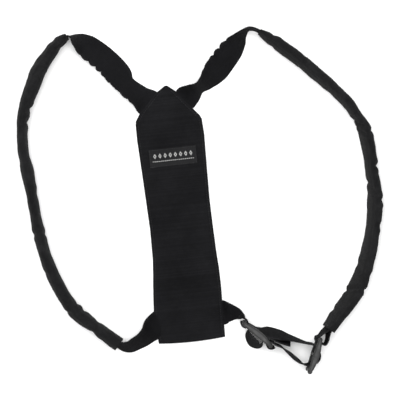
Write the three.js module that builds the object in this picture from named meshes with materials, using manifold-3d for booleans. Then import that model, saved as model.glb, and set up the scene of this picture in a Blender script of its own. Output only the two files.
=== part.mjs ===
// Posture corrector laid flat with both arm loops spread, the back panel leaning a little to the left.
// Millimetres, +Z up. The padded sleeves and the webbing stand on edge, the panel lies flat.
import * as THREE from "three";
import { mergeVertices } from "three/addons/utils/BufferGeometryUtils.js";
import Module from "manifold-3d";

const wasm = await Module();
wasm.setup();

// Driving sizes
const SPREAD = 468; // across both arm loops as they lie
const GAP = 0.3; // between pieces that touch

const PANEL_LENGTH = 327;
const PANEL_WIDTH = 84.5;
const PANEL_THICK = 7;
const PANEL_RIM = 4.4; // thickness at the bound edge
const PANEL_FOOT = { x: -0.0213, y: -0.383 };
const PANEL_LEAN = 6.15;
const PANEL_BEVEL = 0.8;
const HEM_BOW = 2.1; // how far the lower hem bows out
const CROWN_RUN = 20; // how far in from the edge the padding rises
const SHOULDER_UP = 0.858; // share of the length at which the slanted edges start

const LABEL_WIDTH = 61;
const LABEL_HEIGHT = 23.5;
const LABEL_THICK = 1.2;
const LABEL_CENTRE = { x: 0.01 * PANEL_WIDTH, y: 0.721 * PANEL_LENGTH };

// Stock of each band: cuts is how many rings lie between two stations.
const STRAP = { width: 37, thick: 1.6, cuts: 5 };
const SLEEVE = { width: 40, thick: 12, cuts: 2 };
const WEBBING = { width: 38, thick: 1.7, cuts: 3 };
const SCALLOP_PITCH = 10;
const SCALLOP_OUT = 0.9; // how far a scallop reaches out of the edge
const SCALLOP_LIFT = 1.3; // how far it waves up and down

const SLIDER_LENGTH = 47;
const SLIDER_DEPTH = 8.2;
const SLIDER_BACK = 2.7; // how far the straight side of a cheek lies behind its bars
const SLIDER_HEIGHT = 48;
const CHEEK_THICK = 4.6;
const CHEEK_BEVEL = 0.9;
const CHEEK_POINTS = 24;
const BAR_RADIUS = 2.2;
const MIDDLE_BAR_RADIUS = 2.4;
const BAR_SIDES = 10;
const BAR_OFFSET = 0.447 * SLIDER_LENGTH;
const LEFT_SLIDER = { x: 0.155, y: -0.3625, heading: -39.6 };
const RIGHT_SLIDER = { x: 0.309, y: -0.4185, heading: -107.9 };

const COLOURS = {
  panel: 0x1f1f22,
  label: 0x2b2b2f,
  elastic: 0x222225,
  sleeve: 0x28282c,
  webbing: 0x2a2a2e,
  plastic: 0x55565a,
};

// Shapes across a band, as shares of half its width and half its thickness
const TAPE = [
  [-1, 1],
  [0, 1],
  [1, 1],
  [1, -1],
  [0, -1],
  [-1, -1],
];
const ELASTIC = [
  [-1, 1],
  [-0.5, 1],
  [0.2, 1],
  [0.7, 1],
  [1, 1],
  [1, -1],
  [0.7, -1],
  [0.2, -1],
  [-0.5, -1],
  [-1, -1],
];
const PADDED = roundSection(12, 2.5);

function roundSection(count, power) {
  const share = (value) => Math.sign(value) * Math.abs(value) ** (2 / power);
  const points = [];
  for (let i = 0; i < count; i += 1) {
    const angle = (2 * Math.PI * (i + 0.5)) / count;
    points.push([share(Math.cos(angle)), share(Math.sin(angle))]);
  }
  const reach = Math.max(...points.map(([a]) => a));
  return points.map(([a, b]) => [a / reach, b / reach]);
}

function rowsOf(columns, table) {
  return table.map((values) => Object.fromEntries(columns.map((name, i) => [name, values[i]])));
}

// Stations along each band. x and y are shares of SPREAD, or of SLIDER_LENGTH on a slider.
// roll is 0 where the band lies flat and 90 where it stands on edge.
// wide and thick are shares of the stock, lift is a share of its width.
// ruffle is how much of the scallop shows.
const STRAP_COLUMNS = ["x", "y", "roll", "wide", "thick", "lift", "ruffle"];
const LEFT_STRAP = rowsOf(STRAP_COLUMNS, [
  [-0.1213, 0.249, 0, 0.98, 1, 0.038, 0],
  [-0.1414, 0.2651, 2, 0.98, 1, 0.038, 0],
  [-0.1655, 0.284, 26, 0.84, 1, 0.02, 0.2],
  [-0.2035, 0.314, 34, 0.84, 1, 0, 0.7],
  [-0.2222, 0.3421, 22, 0.96, 1, 0, 1],
  [-0.2604, 0.3831, 20, 0.93, 1, 0, 1],
  [-0.3065, 0.418, 30, 0.96, 1, 0, 0.4],
  [-0.3315, 0.4357, 55, 0.95, 1, 0, 0],
  [-0.3534, 0.4454, 85, 0.98, 1, 0, 0],
  [-0.3744, 0.4354, 87, 0.84, 1, 0.115, 0],
  [-0.3893, 0.4219, 85, 0.8, 1, 0.13, 0],
]);
const RIGHT_STRAP = rowsOf(STRAP_COLUMNS, [
  [-0.067, 0.2564, 0, 0.86, 1, 0.038, 0],
  [-0.045, 0.273, 4, 0.86, 1, 0.038, 0],
  [-0.0215, 0.289, 42, 0.9, 1, 0.02, 0.2],
  [-0.002, 0.305, 68, 0.96, 1, 0, 0.3],
  [0.0163, 0.3207, 52, 0.86, 1, 0, 0.5],
  [0.031, 0.3375, 34, 0.88, 1, 0, 0.9],
  [0.046, 0.3562, 25, 0.94, 1, 0, 1],
  [0.0665, 0.3833, 24, 0.92, 1, 0, 1],
  [0.087, 0.4103, 31, 0.91, 1, 0, 0.8],
  [0.1052, 0.4338, 54, 0.92, 1, 0, 0.3],
  [0.1172, 0.451, 75, 0.98, 1, 0, 0],
  [0.1324, 0.4644, 87, 0.98, 1, 0, 0],
  [0.1519, 0.4618, 89, 0.9, 1, 0.06, 0],
  [0.1696, 0.4509, 87, 0.82, 1, 0.115, 0],
  [0.1872, 0.4387, 85, 0.8, 1, 0.13, 0],
]);

const SLEEVE_COLUMNS = ["x", "y", "roll", "wide", "thick", "lift"];
const LEFT_SLEEVE = rowsOf(SLEEVE_COLUMNS, [
  [-0.3608, 0.444, 88, 0.93, 0.6, 0.03],
  [-0.3743, 0.435, 86, 0.97, 0.95, 0.01],
  [-0.392, 0.4177, 84, 1, 1.17, 0],
  [-0.4125, 0.3906, 82, 1, 1.28, 0],
  [-0.4358, 0.3553, 80, 1, 1.28, 0],
  [-0.4535, 0.3147, 82, 1, 1.25, 0],
  [-0.4683, 0.2713, 84, 1, 1.17, 0],
  [-0.4796, 0.2279, 86, 1, 1.08, 0],
  [-0.4823, 0.1845, 90, 1, 0.93, 0],
  [-0.4788, 0.1302, 88, 1, 1, 0],
  [-0.4679, 0.076, 84, 1, 1.15, 0],
  [-0.4571, 0.0217, 88, 1, 1.02, 0],
  [-0.4476, -0.0326, 90, 1, 0.94, 0],
  [-0.4377, -0.082, 87, 1, 1.08, 0],
  [-0.4228, -0.1415, 88, 1, 1.03, 0],
  [-0.4067, -0.1852, 86, 1, 1.12, 0],
  [-0.3864, -0.2288, 86, 1, 1.14, 0],
  [-0.3608, -0.2724, 88, 1, 1.12, 0],
  [-0.338, -0.3022, 84, 1, 1.24, 0],
  [-0.3112, -0.3207, 88, 1, 1.14, 0],
  [-0.2865, -0.3422, 90, 1, 1.05, 0],
  [-0.2642, -0.3593, 88, 1, 1.2, 0],
  [-0.2425, -0.3757, 86, 1, 1.3, 0],
  [-0.219, -0.3925, 82, 0.98, 1.38, 0.01],
]);
const RIGHT_SLEEVE = rowsOf(SLEEVE_COLUMNS, [
  [0.1614, 0.4565, 88, 0.93, 0.5, 0.03],
  [0.179, 0.444, 86, 0.97, 0.82, 0.01],
  [0.207, 0.4268, 84, 1, 1.08, 0],
  [0.2341, 0.4063, 84, 1, 1.12, 0],
  [0.2641, 0.3848, 86, 1, 1.05, 0],
  [0.2969, 0.3579, 86, 1, 1.05, 0],
  [0.3321, 0.3281, 84, 1, 1.1, 0],
  [0.3701, 0.2942, 86, 1, 1.05, 0],
  [0.4027, 0.2614, 87, 1, 1.03, 0],
  [0.4245, 0.2306, 90, 1, 0.94, 0],
  [0.4421, 0.2007, 82, 1, 1.12, 0],
  [0.453, 0.1628, 79, 1, 1.08, 0],
  [0.461, 0.1194, 81, 1, 1.03, 0],
  [0.4653, 0.0814, 85, 1, 0.94, 0],
  [0.4718, 0.0434, 82, 1, 1.04, 0],
  [0.4743, 0, 77, 1, 1.05, 0],
  [0.473, -0.038, 77, 1, 1.03, 0],
  [0.4676, -0.0868, 78, 1, 1.02, 0],
  [0.4582, -0.1358, 73, 1, 1.02, 0],
  [0.4463, -0.1844, 73, 1, 1, 0],
  [0.428, -0.2312, 70, 1, 1.06, 0],
  [0.405, -0.272, 70, 1, 1.03, 0],
  [0.3798, -0.3052, 72, 1, 1.06, 0],
  [0.3584, -0.3345, 76, 1, 1.04, 0],
  [0.3485, -0.3494, 80, 0.98, 1.04, 0.01],
]);

const WEBBING_COLUMNS = ["on", "x", "y", "roll", "wide", "thick", "lift"];
const LEFT_LOWER = rowsOf(WEBBING_COLUMNS, [
  [null, -0.2523, -0.3716, 87, 0.82, 1, 0.115],
  [null, -0.236, -0.3833, 85, 0.84, 1, 0.105],
  [null, -0.216, -0.395, 80, 0.9, 1, 0.08],
  [null, -0.203, -0.399, 70, 1, 1, 0],
  [null, -0.1888, -0.3983, 67, 1, 1, 0],
  [null, -0.1727, -0.3896, 63, 1, 1, 0],
  [null, -0.155, -0.3795, 59, 1, 1, 0],
  [null, -0.1385, -0.365, 46, 1, 1, 0.02],
  [null, -0.1225, -0.3485, 6, 0.95, 1, 0.035],
  [null, -0.1065, -0.3375, 0, 0.94, 1, 0.035],
  [null, -0.0955, -0.3305, 0, 0.94, 1, 0.035],
]);
const TAB = rowsOf(WEBBING_COLUMNS, [
  [null, 0.0328, -0.3042, 0, 0.82, 1, 0.035],
  [null, 0.0478, -0.3056, 0, 0.82, 1, 0.035],
  [null, 0.0629, -0.3072, 3, 0.82, 1, 0.035],
  [null, 0.0822, -0.307, 43, 0.86, 1, 0.02],
  [null, 0.1, -0.3097, 63, 0.94, 1, 0.04],
  [null, 0.1155, -0.3172, 78, 0.95, 1, 0.12],
  [LEFT_SLIDER, -0.53, 0.098, 88, 0.95, 1, 0.155],
  [LEFT_SLIDER, -0.43, 0.1, 90, 0.95, 1, 0.155],
  [LEFT_SLIDER, -0.35, 0.036, 90, 0.95, 1, 0.155],
  [LEFT_SLIDER, -0.356, -0.05, 90, 0.95, 1, 0.155],
  [LEFT_SLIDER, -0.445, -0.086, 90, 0.95, 1, 0.155],
  [LEFT_SLIDER, -0.52, -0.052, 90, 0.95, 1, 0.155],
  [LEFT_SLIDER, -0.545, -0.012, 90, 0.95, 1, 0.155],
]);
const ADJUSTER = rowsOf(WEBBING_COLUMNS, [
  [LEFT_SLIDER, 0.58, 0.036, 90, 0.95, 1, 0.155],
  [LEFT_SLIDER, 0.545, -0.043, 90, 0.95, 1, 0.155],
  [LEFT_SLIDER, 0.447, -0.092, 90, 0.95, 1, 0.155],
  [LEFT_SLIDER, 0.36, -0.047, 90, 0.95, 1, 0.155],
  [LEFT_SLIDER, 0.353, 0.034, 90, 0.95, 1, 0.155],
  [LEFT_SLIDER, 0.43, 0.09, 90, 0.95, 1, 0.155],
  [LEFT_SLIDER, 0.55, 0.094, 90, 0.95, 1, 0.15],
  [null, 0.218, -0.3962, 90, 0.96, 1, 0.1],
  [null, 0.24, -0.413, 90, 0.96, 1, 0.08],
  [null, 0.2608, -0.4315, 90, 0.96, 1, 0.1],
  [null, 0.2775, -0.444, 90, 0.95, 1, 0.14],
  [RIGHT_SLIDER, 0.31, -0.08, 90, 0.95, 1, 0.155],
  [RIGHT_SLIDER, 0.22, 0.01, 90, 0.95, 1, 0.155],
  [RIGHT_SLIDER, 0.175, 0.11, 90, 0.95, 1, 0.155],
  [RIGHT_SLIDER, 0.05, 0.158, 90, 0.95, 1, 0.155],
  [RIGHT_SLIDER, -0.095, 0.118, 90, 0.95, 1, 0.155],
  [RIGHT_SLIDER, -0.175, 0.01, 90, 0.95, 1, 0.155],
  [RIGHT_SLIDER, -0.25, -0.09, 90, 0.95, 1, 0.155],
  [null, 0.2885, -0.387, 90, 0.95, 1, 0.13],
  [null, 0.2708, -0.3818, 86, 0.96, 1, 0.08],
  [null, 0.2437, -0.3737, 79, 0.97, 1, 0.02],
  [null, 0.2166, -0.3663, 74, 0.97, 1, 0.01],
  [null, 0.1841, -0.3582, 73, 0.97, 1, 0.03],
  [LEFT_SLIDER, 0.043, 0.132, 80, 0.95, 1, 0.13],
  [LEFT_SLIDER, -0.106, 0.094, 88, 0.95, 1, 0.155],
  [LEFT_SLIDER, -0.202, 0.011, 90, 0.95, 1, 0.155],
  [LEFT_SLIDER, -0.225, -0.08, 95, 0.95, 1, 0.155],
  [LEFT_SLIDER, -0.18, -0.17, 104, 0.95, 1, 0.13],
  [LEFT_SLIDER, 0.02, -0.232, 108, 0.95, 1, 0.11],
  [LEFT_SLIDER, 0.215, -0.19, 104, 0.95, 1, 0.13],
  [LEFT_SLIDER, 0.235, -0.09, 95, 0.95, 1, 0.155],
  [LEFT_SLIDER, 0.195, 0.01, 90, 0.95, 1, 0.155],
  [LEFT_SLIDER, 0.23, 0.1, 91, 0.95, 1, 0.155],
  [LEFT_SLIDER, 0.385, 0.172, 95, 0.95, 1, 0.12],
  [null, 0.2175, -0.3775, 101, 0.97, 1, 0.02],
  [null, 0.241, -0.3832, 103, 0.96, 1, 0],
]);
const END_LOOP = rowsOf(WEBBING_COLUMNS, [
  [null, 0.3555, -0.3338, 79, 0.82, 1, 0.115],
  [null, 0.3447, -0.349, 82, 0.84, 1, 0.11],
  [null, 0.3325, -0.358, 86, 0.9, 1, 0.12],
  [RIGHT_SLIDER, -0.5177, -0.0333, 90, 0.95, 1, 0.15],
  [RIGHT_SLIDER, -0.46, -0.095, 90, 0.95, 1, 0.155],
  [RIGHT_SLIDER, -0.37, -0.07, 90, 0.95, 1, 0.155],
  [RIGHT_SLIDER, -0.31, 0.01, 90, 0.95, 1, 0.155],
  [RIGHT_SLIDER, -0.35, 0.092, 90, 0.95, 1, 0.155],
  [RIGHT_SLIDER, -0.3526, 0.1844, 90, 0.95, 1, 0.155],
  [RIGHT_SLIDER, -0.476, 0.2102, 92, 0.95, 1, 0.15],
  [null, 0.3462, -0.367, 94, 0.92, 1, 0.13],
  [null, 0.349, -0.356, 96, 0.86, 1, 0.115],
  [null, 0.3535, -0.347, 97, 0.84, 1, 0.11],
  [null, 0.36, -0.337, 99, 0.82, 1, 0.115],
]);

// Outline of the panel: up is a share of its length, left and right are shares of half its width.
const PANEL_OUTLINE = rowsOf(
  ["up", "left", "right"],
  [
    [0, 1.015, 1],
    [0.06, 1.035, 1.015],
    [0.127, 1.065, 1.03],
    [0.2, 1.02, 1.045],
    [0.27, 0.965, 1.04],
    [0.33, 0.925, 1.015],
    [0.45, 0.91, 0.99],
    [0.54, 0.935, 0.98],
    [0.64, 0.962, 0.998],
    [0.8, 1.01, 1.03],
    [SHOULDER_UP, 1.005, 1.003],
    [0.873, 0.99, 0.95],
    [0.9, 0.855, 0.775],
    [0.978, 0.265, 0.285],
    [1, 0.01, 0.07],
  ],
);
const PANEL_COLUMNS = [-1, -0.93, -0.8, -0.6, -0.32, 0, 0.32, 0.6, 0.8, 0.93, 1];
// Shallow creases across the panel: up and run are shares of its length, deep is a share of its thickness.
const PANEL_CREASES = rowsOf(
  ["up", "run", "deep"],
  [
    [0.09, 0.025, 0.07],
    [0.23, 0.021, 0.14],
    [0.46, 0.03, 0.07],
    [0.62, 0.028, 0.06],
  ],
);

const radians = THREE.MathUtils.degToRad;

// The point in plan that a table row names
function placeOf(row) {
  if (!row.on) return new THREE.Vector3(row.x * SPREAD, row.y * SPREAD, 0);
  return onSlider(row.on, row.x * SLIDER_LENGTH, row.y * SLIDER_LENGTH, 0);
}

function onSlider(slider, along, across, height) {
  const turn = radians(slider.heading);
  return new THREE.Vector3(
    slider.x * SPREAD + along * Math.cos(turn) - across * Math.sin(turn),
    slider.y * SPREAD + along * Math.sin(turn) + across * Math.cos(turn),
    height,
  );
}

function onPanel(x, y, z) {
  const lean = radians(PANEL_LEAN);
  return new THREE.Vector3(
    PANEL_FOOT.x * SPREAD + x * Math.cos(lean) - y * Math.sin(lean),
    PANEL_FOOT.y * SPREAD + x * Math.sin(lean) + y * Math.cos(lean),
    z,
  );
}

// Closed solid through rings of points, with a fan of faces over each end
function loft(rings) {
  const count = rings[0].length;
  const points = rings.flat();
  const faces = [];
  for (let r = 0; r + 1 < rings.length; r += 1) {
    for (let i = 0; i < count; i += 1) {
      const a = r * count + i;
      const b = r * count + ((i + 1) % count);
      faces.push(a, b, b + count, a, b + count, a + count);
    }
  }
  const last = (rings.length - 1) * count;
  const ends = [rings[0], rings[rings.length - 1]].map(middleOf);
  points.push(...ends);
  for (let i = 0; i < count; i += 1) {
    const next = (i + 1) % count;
    faces.push(points.length - 2, next, i);
    faces.push(points.length - 1, last + i, last + next);
  }
  const geometry = new THREE.BufferGeometry();
  geometry.setAttribute("position", new THREE.Float32BufferAttribute(points.flatMap((p) => p.toArray()), 3));
  geometry.setIndex(volumeOf(points, faces) < 0 ? faces.reverse() : faces);
  return geometry;
}

function middleOf(ring) {
  return ring.reduce((sum, p) => sum.add(p), new THREE.Vector3()).divideScalar(ring.length);
}

function volumeOf(points, faces) {
  let volume = 0;
  for (let i = 0; i < faces.length; i += 3) {
    const [a, b, c] = [points[faces[i]], points[faces[i + 1]], points[faces[i + 2]]];
    volume += a.dot(new THREE.Vector3().crossVectors(b, c)) / 6;
  }
  return volume;
}

// A band swept along its stations. grow makes the room that it needs inside another piece.
function sweep(rows, stock, section, grow = 0) {
  const path = new THREE.CatmullRomCurve3(rows.map(placeOf), false, "centripetal");
  const shape = columnsOf(rows, ["roll", "wide", "thick"]);
  const extra = columnsOf(rows, ["lift", "ruffle"]);
  const steps = (rows.length - 1) * stock.cuts;
  const rings = [];
  let run = 0;
  let before = path.getPoint(0);
  for (let i = 0; i <= steps; i += 1) {
    const at = i / steps;
    const centre = path.getPoint(at);
    run += centre.distanceTo(before);
    before = centre.clone();
    const along = path.getTangent(at);
    if (i === 0) centre.addScaledVector(along, -grow);
    if (i === steps) centre.addScaledVector(along, grow);
    const { x: roll, y: wide, z: thick } = shape.getPoint(at);
    const { x: lift, y: ruffle } = extra.getPoint(at);
    const size = { width: stock.width * wide, depth: stock.thick * thick, grow };
    const wave = ruffle * Math.sin((2 * Math.PI * run) / SCALLOP_PITCH);
    centre.setZ(Math.max(0, lift) * stock.width);
    rings.push(ringOf(section, centre, along, radians(roll), size, wave));
  }
  return loft(rings);
}

function columnsOf(rows, names) {
  const values = rows.map((row) => new THREE.Vector3(...names.map((name) => row[name] ?? 0)));
  return new THREE.CatmullRomCurve3(values, false, "catmullrom", 0.4);
}

// One ring of a band. foot is on its path, at the height of the ring's lowest point.
function ringOf(section, foot, along, roll, { width, depth, grow }, wave) {
  const side = new THREE.Vector3(-along.y, along.x, 0).normalize();
  const across = side.clone().multiplyScalar(Math.cos(roll)).setZ(Math.sin(roll));
  const face = side.clone().multiplyScalar(-Math.sin(roll)).setZ(Math.cos(roll));
  const rise = ([a, b]) => (a * width * Math.sin(roll) + b * depth * Math.cos(roll)) / 2;
  const centre = foot.clone().setZ(foot.z - Math.min(...section.map(rise)));
  return section.map(([a, b]) => {
    const edge = Math.max(a, 0) ** 3 * wave;
    return centre
      .clone()
      .addScaledVector(across, a * (width / 2 + grow) + edge * SCALLOP_OUT)
      .addScaledVector(face, b * (depth / 2 + grow) + edge * SCALLOP_LIFT);
  });
}

function solidOf(geometry) {
  const merged = mergeVertices(geometry, 1e-4);
  const vertProperties = merged.attributes.position.array;
  const triVerts = new Uint32Array(merged.index.array);
  return new wasm.Manifold(new wasm.Mesh({ numProp: 3, vertProperties, triVerts }));
}

function geometryOf(solid) {
  const { vertProperties, triVerts } = solid.getMesh();
  const geometry = new THREE.BufferGeometry();
  geometry.setAttribute("position", new THREE.Float32BufferAttribute(vertProperties, 3));
  geometry.setIndex([...triVerts]);
  return geometry;
}

function cutOut(geometry, rooms) {
  const solid = rooms.reduce((body, room) => body.subtract(solidOf(room)), solidOf(geometry));
  return geometryOf(solid);
}

// The room that the ends of the bands need in the panel and the sleeves
const rooms = {
  leftStrap: sweep(LEFT_STRAP, STRAP, ELASTIC, GAP),
  rightStrap: sweep(RIGHT_STRAP, STRAP, ELASTIC, GAP),
  leftLower: sweep(LEFT_LOWER, WEBBING, TAPE, GAP),
  tab: sweep(TAB, WEBBING, TAPE, GAP),
  endLoop: sweep(END_LOOP, WEBBING, TAPE, GAP),
};

// Half width of the panel on one side, at a share of its length
function panelEdge(side, up) {
  const rows = PANEL_OUTLINE;
  const next = Math.max(1, rows.findIndex((row) => row.up >= up - 1e-9));
  const [low, high] = [rows[next - 1], rows[next]];
  const part = (up - low.up) / (high.up - low.up);
  return (PANEL_WIDTH / 2) * THREE.MathUtils.lerp(low[side], high[side], part);
}

// Height of the panel's padded face
function panelTop(x, y) {
  const up = THREE.MathUtils.clamp(y / PANEL_LENGTH, 0, 1);
  const inside = Math.min(panelEdge("right", up) - x, panelEdge("left", up) + x);
  const slope = up > SHOULDER_UP ? Math.SQRT1_2 : 1;
  const away = Math.max(0, Math.min(inside * slope, y + HEM_BOW));
  const rise = 1 - (1 - Math.min(1, away / CROWN_RUN)) ** 2;
  let top = PANEL_RIM + (PANEL_THICK - PANEL_RIM) * rise;
  for (const crease of PANEL_CREASES) {
    const off = (y / PANEL_LENGTH - crease.up) / crease.run;
    top -= crease.deep * PANEL_THICK * rise * Math.exp(-off * off);
  }
  return top;
}

// Where the panel is cut into rings: evenly along the sides and the slanted top, and at each corner
function panelCuts() {
  const sideCuts = 27;
  const topCuts = 10;
  const cuts = PANEL_OUTLINE.map((row) => row.up).filter((up) => up > SHOULDER_UP);
  for (let i = 0; i <= sideCuts; i += 1) cuts.push((SHOULDER_UP * i) / sideCuts);
  for (let i = 1; i < topCuts; i += 1) cuts.push(SHOULDER_UP + ((1 - SHOULDER_UP) * i) / topCuts);
  return cuts.sort((a, b) => a - b);
}

function panelRing(up) {
  const [left, right] = [-panelEdge("left", up), panelEdge("right", up)];
  const middle = (left + right) / 2;
  const fade = Math.max(0, 1 - up / PANEL_OUTLINE[1].up);
  const hem = (x) => -HEM_BOW * (1 - ((2 * x) / PANEL_WIDTH) ** 2) * fade;
  const point = (x, z) => onPanel(x, up * PANEL_LENGTH + hem(x), z);
  const inset = Math.min(PANEL_BEVEL, (right - left) / 4);
  const ring = [point(left + inset, 0), point(middle, 0), point(right - inset, 0)];
  ring.push(point(right, PANEL_BEVEL), point(right, PANEL_RIM - PANEL_BEVEL));
  for (const share of [...PANEL_COLUMNS].reverse()) {
    const x = middle + share * ((right - left) / 2 - inset);
    ring.push(point(x, panelTop(x, up * PANEL_LENGTH)));
  }
  ring.push(point(left, PANEL_RIM - PANEL_BEVEL), point(left, PANEL_BEVEL));
  return ring;
}

function backPanel() {
  const rings = panelCuts().map(panelRing);
  return cutOut(loft(rings), [rooms.leftStrap, rooms.rightStrap, rooms.leftLower, rooms.tab]);
}

function panelLabel() {
  const rings = [];
  const cuts = 12;
  for (let i = 0; i <= cuts; i += 1) {
    const x = LABEL_CENTRE.x + LABEL_WIDTH * (i / cuts - 0.5);
    const point = (share, rise) => {
      const y = LABEL_CENTRE.y + (LABEL_HEIGHT / 2) * share;
      return onPanel(x, y, panelTop(x, y) + GAP + rise);
    };
    const low = [-1, -0.4, 0.4, 1].map((share) => point(share, 0));
    const high = [1, 0.4, -0.4, -1].map((share) => point(share, LABEL_THICK));
    rings.push([...low, ...high]);
  }
  return loft(rings);
}

// Outline of a slider's cheek: nearly straight on one side, bellied on the other
function cheekRing(slider, inset, height) {
  const ring = [];
  for (let i = 0; i < CHEEK_POINTS; i += 1) {
    const angle = (2 * Math.PI * (i + 0.5)) / CHEEK_POINTS;
    const reachAlong = SLIDER_LENGTH / 2 - inset;
    const along = reachAlong * Math.sign(Math.cos(angle)) * Math.abs(Math.cos(angle)) ** 0.8;
    const belly = 1 - 0.48 * Math.abs((2 * along) / SLIDER_LENGTH) ** 1.6;
    const back = Math.sin(angle) < 0;
    const reach = back ? -SLIDER_BACK + inset : (SLIDER_DEPTH - SLIDER_BACK) * belly - inset;
    ring.push(onSlider(slider, along, reach * Math.abs(Math.sin(angle)) ** 0.6, height));
  }
  return ring;
}

function cheek(slider, floor) {
  return loft([
    cheekRing(slider, CHEEK_BEVEL, floor),
    cheekRing(slider, 0, floor + CHEEK_BEVEL),
    cheekRing(slider, 0, floor + CHEEK_THICK - CHEEK_BEVEL),
    cheekRing(slider, CHEEK_BEVEL, floor + CHEEK_THICK),
  ]);
}

function bar(slider, offset, radius) {
  const ringAt = (height) => {
    const ring = [];
    for (let i = 0; i < BAR_SIDES; i += 1) {
      const angle = (2 * Math.PI * i) / BAR_SIDES;
      ring.push(onSlider(slider, offset + radius * Math.cos(angle), radius * Math.sin(angle), height));
    }
    return ring;
  };
  return loft([ringAt(CHEEK_THICK / 2), ringAt(SLIDER_HEIGHT - CHEEK_THICK / 2)]);
}

function sliderBody(slider) {
  const pieces = [
    cheek(slider, 0),
    cheek(slider, SLIDER_HEIGHT - CHEEK_THICK),
    bar(slider, -BAR_OFFSET, BAR_RADIUS),
    bar(slider, 0, MIDDLE_BAR_RADIUS),
    bar(slider, BAR_OFFSET, BAR_RADIUS),
  ];
  const [first, ...others] = pieces.map(solidOf);
  return geometryOf(others.reduce((body, piece) => body.add(piece), first));
}

function pieceOf(name, geometry, colour, roughness) {
  const flat = geometry.toNonIndexed();
  flat.computeVertexNormals();
  const material = new THREE.MeshStandardMaterial({ color: colour, roughness });
  material.name = name + "_surface";
  const mesh = new THREE.Mesh(flat, material);
  mesh.name = name;
  return mesh;
}

const group = new THREE.Group();
group.name = "posture_corrector";
group.add(
  pieceOf("back_panel", backPanel(), COLOURS.panel, 0.9),
  pieceOf("panel_label", panelLabel(), COLOURS.label, 0.8),
  pieceOf("left_shoulder_strap", sweep(LEFT_STRAP, STRAP, ELASTIC), COLOURS.elastic, 0.85),
  pieceOf("right_shoulder_strap", sweep(RIGHT_STRAP, STRAP, ELASTIC), COLOURS.elastic, 0.85),
  pieceOf(
    "left_sleeve",
    cutOut(sweep(LEFT_SLEEVE, SLEEVE, PADDED), [rooms.leftStrap, rooms.leftLower]),
    COLOURS.sleeve,
    0.9,
  ),
  pieceOf(
    "right_sleeve",
    cutOut(sweep(RIGHT_SLEEVE, SLEEVE, PADDED), [rooms.rightStrap, rooms.endLoop]),
    COLOURS.sleeve,
    0.9,
  ),
  pieceOf("left_lower_webbing", sweep(LEFT_LOWER, WEBBING, TAPE), COLOURS.webbing, 0.8),
  pieceOf("tab_webbing", sweep(TAB, WEBBING, TAPE), COLOURS.webbing, 0.8),
  pieceOf("adjuster_webbing", sweep(ADJUSTER, WEBBING, TAPE), COLOURS.webbing, 0.8),
  pieceOf("right_sleeve_loop", sweep(END_LOOP, WEBBING, TAPE), COLOURS.webbing, 0.8),
  pieceOf("left_slider", sliderBody(LEFT_SLIDER), COLOURS.plastic, 0.45),
  pieceOf("right_slider", sliderBody(RIGHT_SLIDER), COLOURS.plastic, 0.45),
);

// The frame's origin is under the middle of the whole, on the floor.
const box = new THREE.Box3().setFromObject(group);
const middle = box.getCenter(new THREE.Vector3());
for (const mesh of group.children) mesh.geometry.translate(-middle.x, -middle.y, -box.min.z);

export default group;
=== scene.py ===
"""Posture corrector laid flat: cloth, webbing, sliders and their materials."""

import math

import bmesh
import bpy
import numpy as np
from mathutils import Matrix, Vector, noise


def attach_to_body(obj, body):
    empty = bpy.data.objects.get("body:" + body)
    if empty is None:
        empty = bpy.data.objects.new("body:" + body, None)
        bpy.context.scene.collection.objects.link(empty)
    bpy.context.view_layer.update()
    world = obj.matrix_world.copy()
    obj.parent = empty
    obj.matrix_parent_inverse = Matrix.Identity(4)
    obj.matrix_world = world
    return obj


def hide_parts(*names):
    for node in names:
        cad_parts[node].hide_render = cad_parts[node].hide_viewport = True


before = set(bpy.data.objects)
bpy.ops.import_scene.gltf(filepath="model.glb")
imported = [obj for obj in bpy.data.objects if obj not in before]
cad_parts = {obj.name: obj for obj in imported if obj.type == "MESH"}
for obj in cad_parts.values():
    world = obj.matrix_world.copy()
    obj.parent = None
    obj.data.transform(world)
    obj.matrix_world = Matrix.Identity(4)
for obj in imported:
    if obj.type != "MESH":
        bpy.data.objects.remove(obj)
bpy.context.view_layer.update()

# Driving values: lengths in millimetres, headings in degrees, and some counts and shares
MM = 0.001
ORIGIN = (0.7095, -0.3715)  # middle of the layout in the frame
SPREAD = 468  # across both arm loops

PANEL_LENGTH = 327
PANEL_WIDTH = 84.5
PANEL_THICK = 7
PANEL_RIM = 4.4
PANEL_BEVEL = 1.1
PANEL_RINGS = 190
POINT_RINGS = 60  # rings of the panel's pointed top
PANEL_COLUMNS = 46  # points across its padded face
BACK_COLUMNS = 9
PANEL_FOOT = (-0.0213 * SPREAD, -0.383 * SPREAD)
PANEL_LEAN = math.radians(6.15)
HEM_BOW = 2.1
CROWN_RUN = 20
SHOULDER_UP = 0.858
SEAM_INSET = 3.3  # of the stitched line from the panel's edge
SEAM_DEEP = 0.8
SEAM_REACH = 1.3
PUCKER_PITCH = 4.6
PUCKER_DEEP = 0.12
PUCKER_REACH = 2.6
RIPPLE_HIGH = 0.36  # of the loose cloth over the padding
RIPPLE_BROAD = (26, 34)
RIPPLE_FINE = (11, 15)
EDGE_WORN = 1.6  # how far in from the panel's edge the cloth is rubbed

LABEL_WIDTH = 61
LABEL_HEIGHT = 23.5
LABEL_THICK = 1.2
LABEL_COLUMNS = 62
LABEL_ROWS = 24
LABEL_EDGE = 0.5  # how far in the folded edge thins out
LABEL_THIN = 0.45  # share of the thickness that is left at the very edge
LABEL_INSET = 1.5  # of its stitched line
LABEL_CENTRE = (0.01 * PANEL_WIDTH, 0.721 * PANEL_LENGTH)

STRAP = {"width": 37, "thick": 1.6, "cuts": 40}
SLEEVE = {"width": 40, "thick": 12, "cuts": 22}
WEBBING = {"width": 38, "thick": 1.7, "cuts": 14}

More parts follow.
